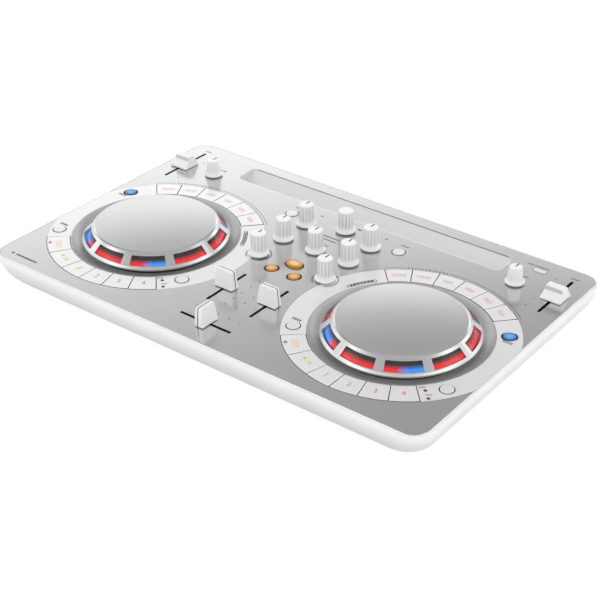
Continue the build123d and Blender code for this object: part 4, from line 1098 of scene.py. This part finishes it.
def platter_windows(side):
    """The ten smoked panes set in a platter's sloping side."""
    foot = Vector((WINDOW_FOOT[0], PLATE_TOP + WINDOW_FOOT[1]))
    head = Vector((WINDOW_HEAD[0], PLATE_TOP + WINDOW_HEAD[1]))
    inward = Vector((foot.y - head.y, head.x - foot.x)).normalized()
    profile = [
        foot + inward * WINDOW_SINK,
        head + inward * WINDOW_SINK,
        head + inward * (WINDOW_SINK + WINDOW_SKIN),
        foot + inward * (WINDOW_SINK + WINDOW_SKIN),
    ]
    bm = bmesh.new()
    for number in range(WINDOW_COUNT):
        middle = (number + 0.5) * 360 / WINDOW_COUNT
        lathe(bm, DECKS[side], profile, 10, middle - WINDOW_ANGLE / 2, middle + WINDOW_ANGLE / 2)
    return piece_from(f"{side}_platter_windows", f"{side}_jog_platter", bm, SMOKE, smooth_angle=40)


for side in SIDES:
    platter_windows(side)


# ------------------------------------------------------------------ stage, light and camera
# The room's brightness by height (0 is the horizon, 1 straight up), in its two rear corners and in front
BEHIND = (-0.59, 0.80, 0.0)
LEFTWARD = (-0.80, -0.60, 0.0)
LEFT_WALL = (
    (0.0, 0.95), (0.30, 1.10), (0.39, 1.95), (0.46, 1.08), (0.52, 0.77), (0.58, 0.38), (0.66, 0.35),
    (0.80, 0.45), (1.0, 0.60),
)
RIGHT_WALL = (
    (0.0, 0.95), (0.30, 1.10), (0.385, 2.6), (0.46, 0.92), (0.52, 0.13), (0.58, 0.29), (0.66, 0.48),
    (0.80, 0.50), (1.0, 0.60),
)
FRONT_WALL = ((0.0, 0.95), (0.54, 1.0), (0.60, 2.0), (0.68, 2.0), (0.75, 0.45), (1.0, 0.60))
FLOOR_REACH = 8.0
FLOOR_GREY = 0.14
FLOOR_GLOW = 0.92
LIGHT_PLACE = Vector((-0.35, 0.55, 1.7))
LIGHT_SIZE = 1.1
LIGHT_POWER = 6.5


def stage_floor():
    """A plain white floor, wide enough to fill every view."""
    mesh = bpy.data.meshes.new("floor")
    corners = [(x * FLOOR_REACH, y * FLOOR_REACH, 0) for x, y in ((-1, -1), (1, -1), (1, 1), (-1, 1))]
    mesh.from_pydata(corners, [], [(0, 1, 2, 3)])
    material, _, shader = new_material("floor_white")
    shader.inputs["Base Color"].default_value = (FLOOR_GREY, FLOOR_GREY, FLOOR_GREY, 1)
    shader.inputs["Roughness"].default_value = 0.9
    shader.inputs["Specular IOR Level"].default_value = 0.1
    shader.inputs["Emission Color"].default_value = (1, 1, 1, 1)
    shader.inputs["Emission Strength"].default_value = FLOOR_GLOW
    mesh.materials.append(material)
    floor = bpy.data.objects.new("floor", mesh)
    bpy.context.scene.collection.objects.link(floor)


def surround():
    """A white room: brightest in a band behind the panel and one in front, and darker above them."""
    world = bpy.data.worlds.new("studio")
    bpy.context.scene.world = world
    world.use_nodes = True
    tree = world.node_tree
    direction = add_node(tree, "ShaderNodeTexCoord").outputs["Generated"]
    height = add_node(tree, "ShaderNodeSeparateXYZ", {"Vector": direction}).outputs["Z"]

    def share(axis, low, high):
        """How far a direction leans along an axis, from 0 to 1."""
        along = add_node(tree, "ShaderNodeVectorMath", {0: direction, 1: axis}, operation="DOT_PRODUCT")
        made = add_node(
            tree, "ShaderNodeMapRange",
            {"Value": along.outputs["Value"], "From Min": low, "From Max": high},
            interpolation_type="SMOOTHSTEP",
        )
        return made.outputs["Result"]

    def wall(steps):
        """The brightness of one part of the room, by height."""
        made = add_node(tree, "ShaderNodeValToRGB", {"Fac": height})
        elements = made.color_ramp.elements
        while len(elements) < len(steps):
            elements.new(0.5)
        for element, (position, grey) in zip(elements, steps):
            element.position = position
            element.color = (grey, grey, grey, 1)
        return made.outputs["Color"]

    back = blend_colours(tree, share(LEFTWARD, -0.22, 0.22), wall(RIGHT_WALL), wall(LEFT_WALL))
    light = blend_colours(tree, share(BEHIND, 0.0, 0.45), wall(FRONT_WALL), back)
    tree.links.new(light, tree.nodes["Background"].inputs["Color"])
    tree.nodes["Background"].inputs["Strength"].default_value = 1.0


def overhead_light():
    """A square soft light over the rear left, aimed at the middle of the body."""
    light = bpy.data.lights.new("overhead", "AREA")
    light.shape = "SQUARE"
    light.size = LIGHT_SIZE
    light.energy = LIGHT_POWER
    lamp_object = bpy.data.objects.new("overhead", light)
    lamp_object.location = LIGHT_PLACE
    lamp_object.rotation_mode = "QUATERNION"
    lamp_object.rotation_quaternion = (-LIGHT_PLACE).to_track_quat("-Z", "Y")
    # Its mirror image in the satin panel would wash out the silver when seen from above
    lamp_object.visible_glossy = False
    bpy.context.scene.collection.objects.link(lamp_object)


def camera():
    """The camera, at the front right and looking down on the panel."""
    data = bpy.data.cameras.new("camera")
    data.lens = CAMERA_LENS
    data.sensor_width = CAMERA_SENSOR
    data.shift_x = CAMERA_SHIFT_X
    eye = bpy.data.objects.new("camera", data)
    back = Vector((
        math.sin(CAMERA_AZIMUTH) * math.cos(CAMERA_ELEVATION),
        -math.cos(CAMERA_AZIMUTH) * math.cos(CAMERA_ELEVATION),
        math.sin(CAMERA_ELEVATION),
    ))
    eye.location = CAMERA_TARGET + back * CAMERA_DISTANCE
    eye.rotation_mode = "QUATERNION"
    roll = Matrix.Rotation(CAMERA_ROLL, 3, "Z").to_quaternion()
    eye.rotation_quaternion = (-back).to_track_quat("-Z", "Y") @ roll
    bpy.context.scene.collection.objects.link(eye)
    bpy.context.scene.camera = eye


stage_floor()
surround()
overhead_light()
camera()
bpy.context.scene.view_settings.view_transform = "Standard"
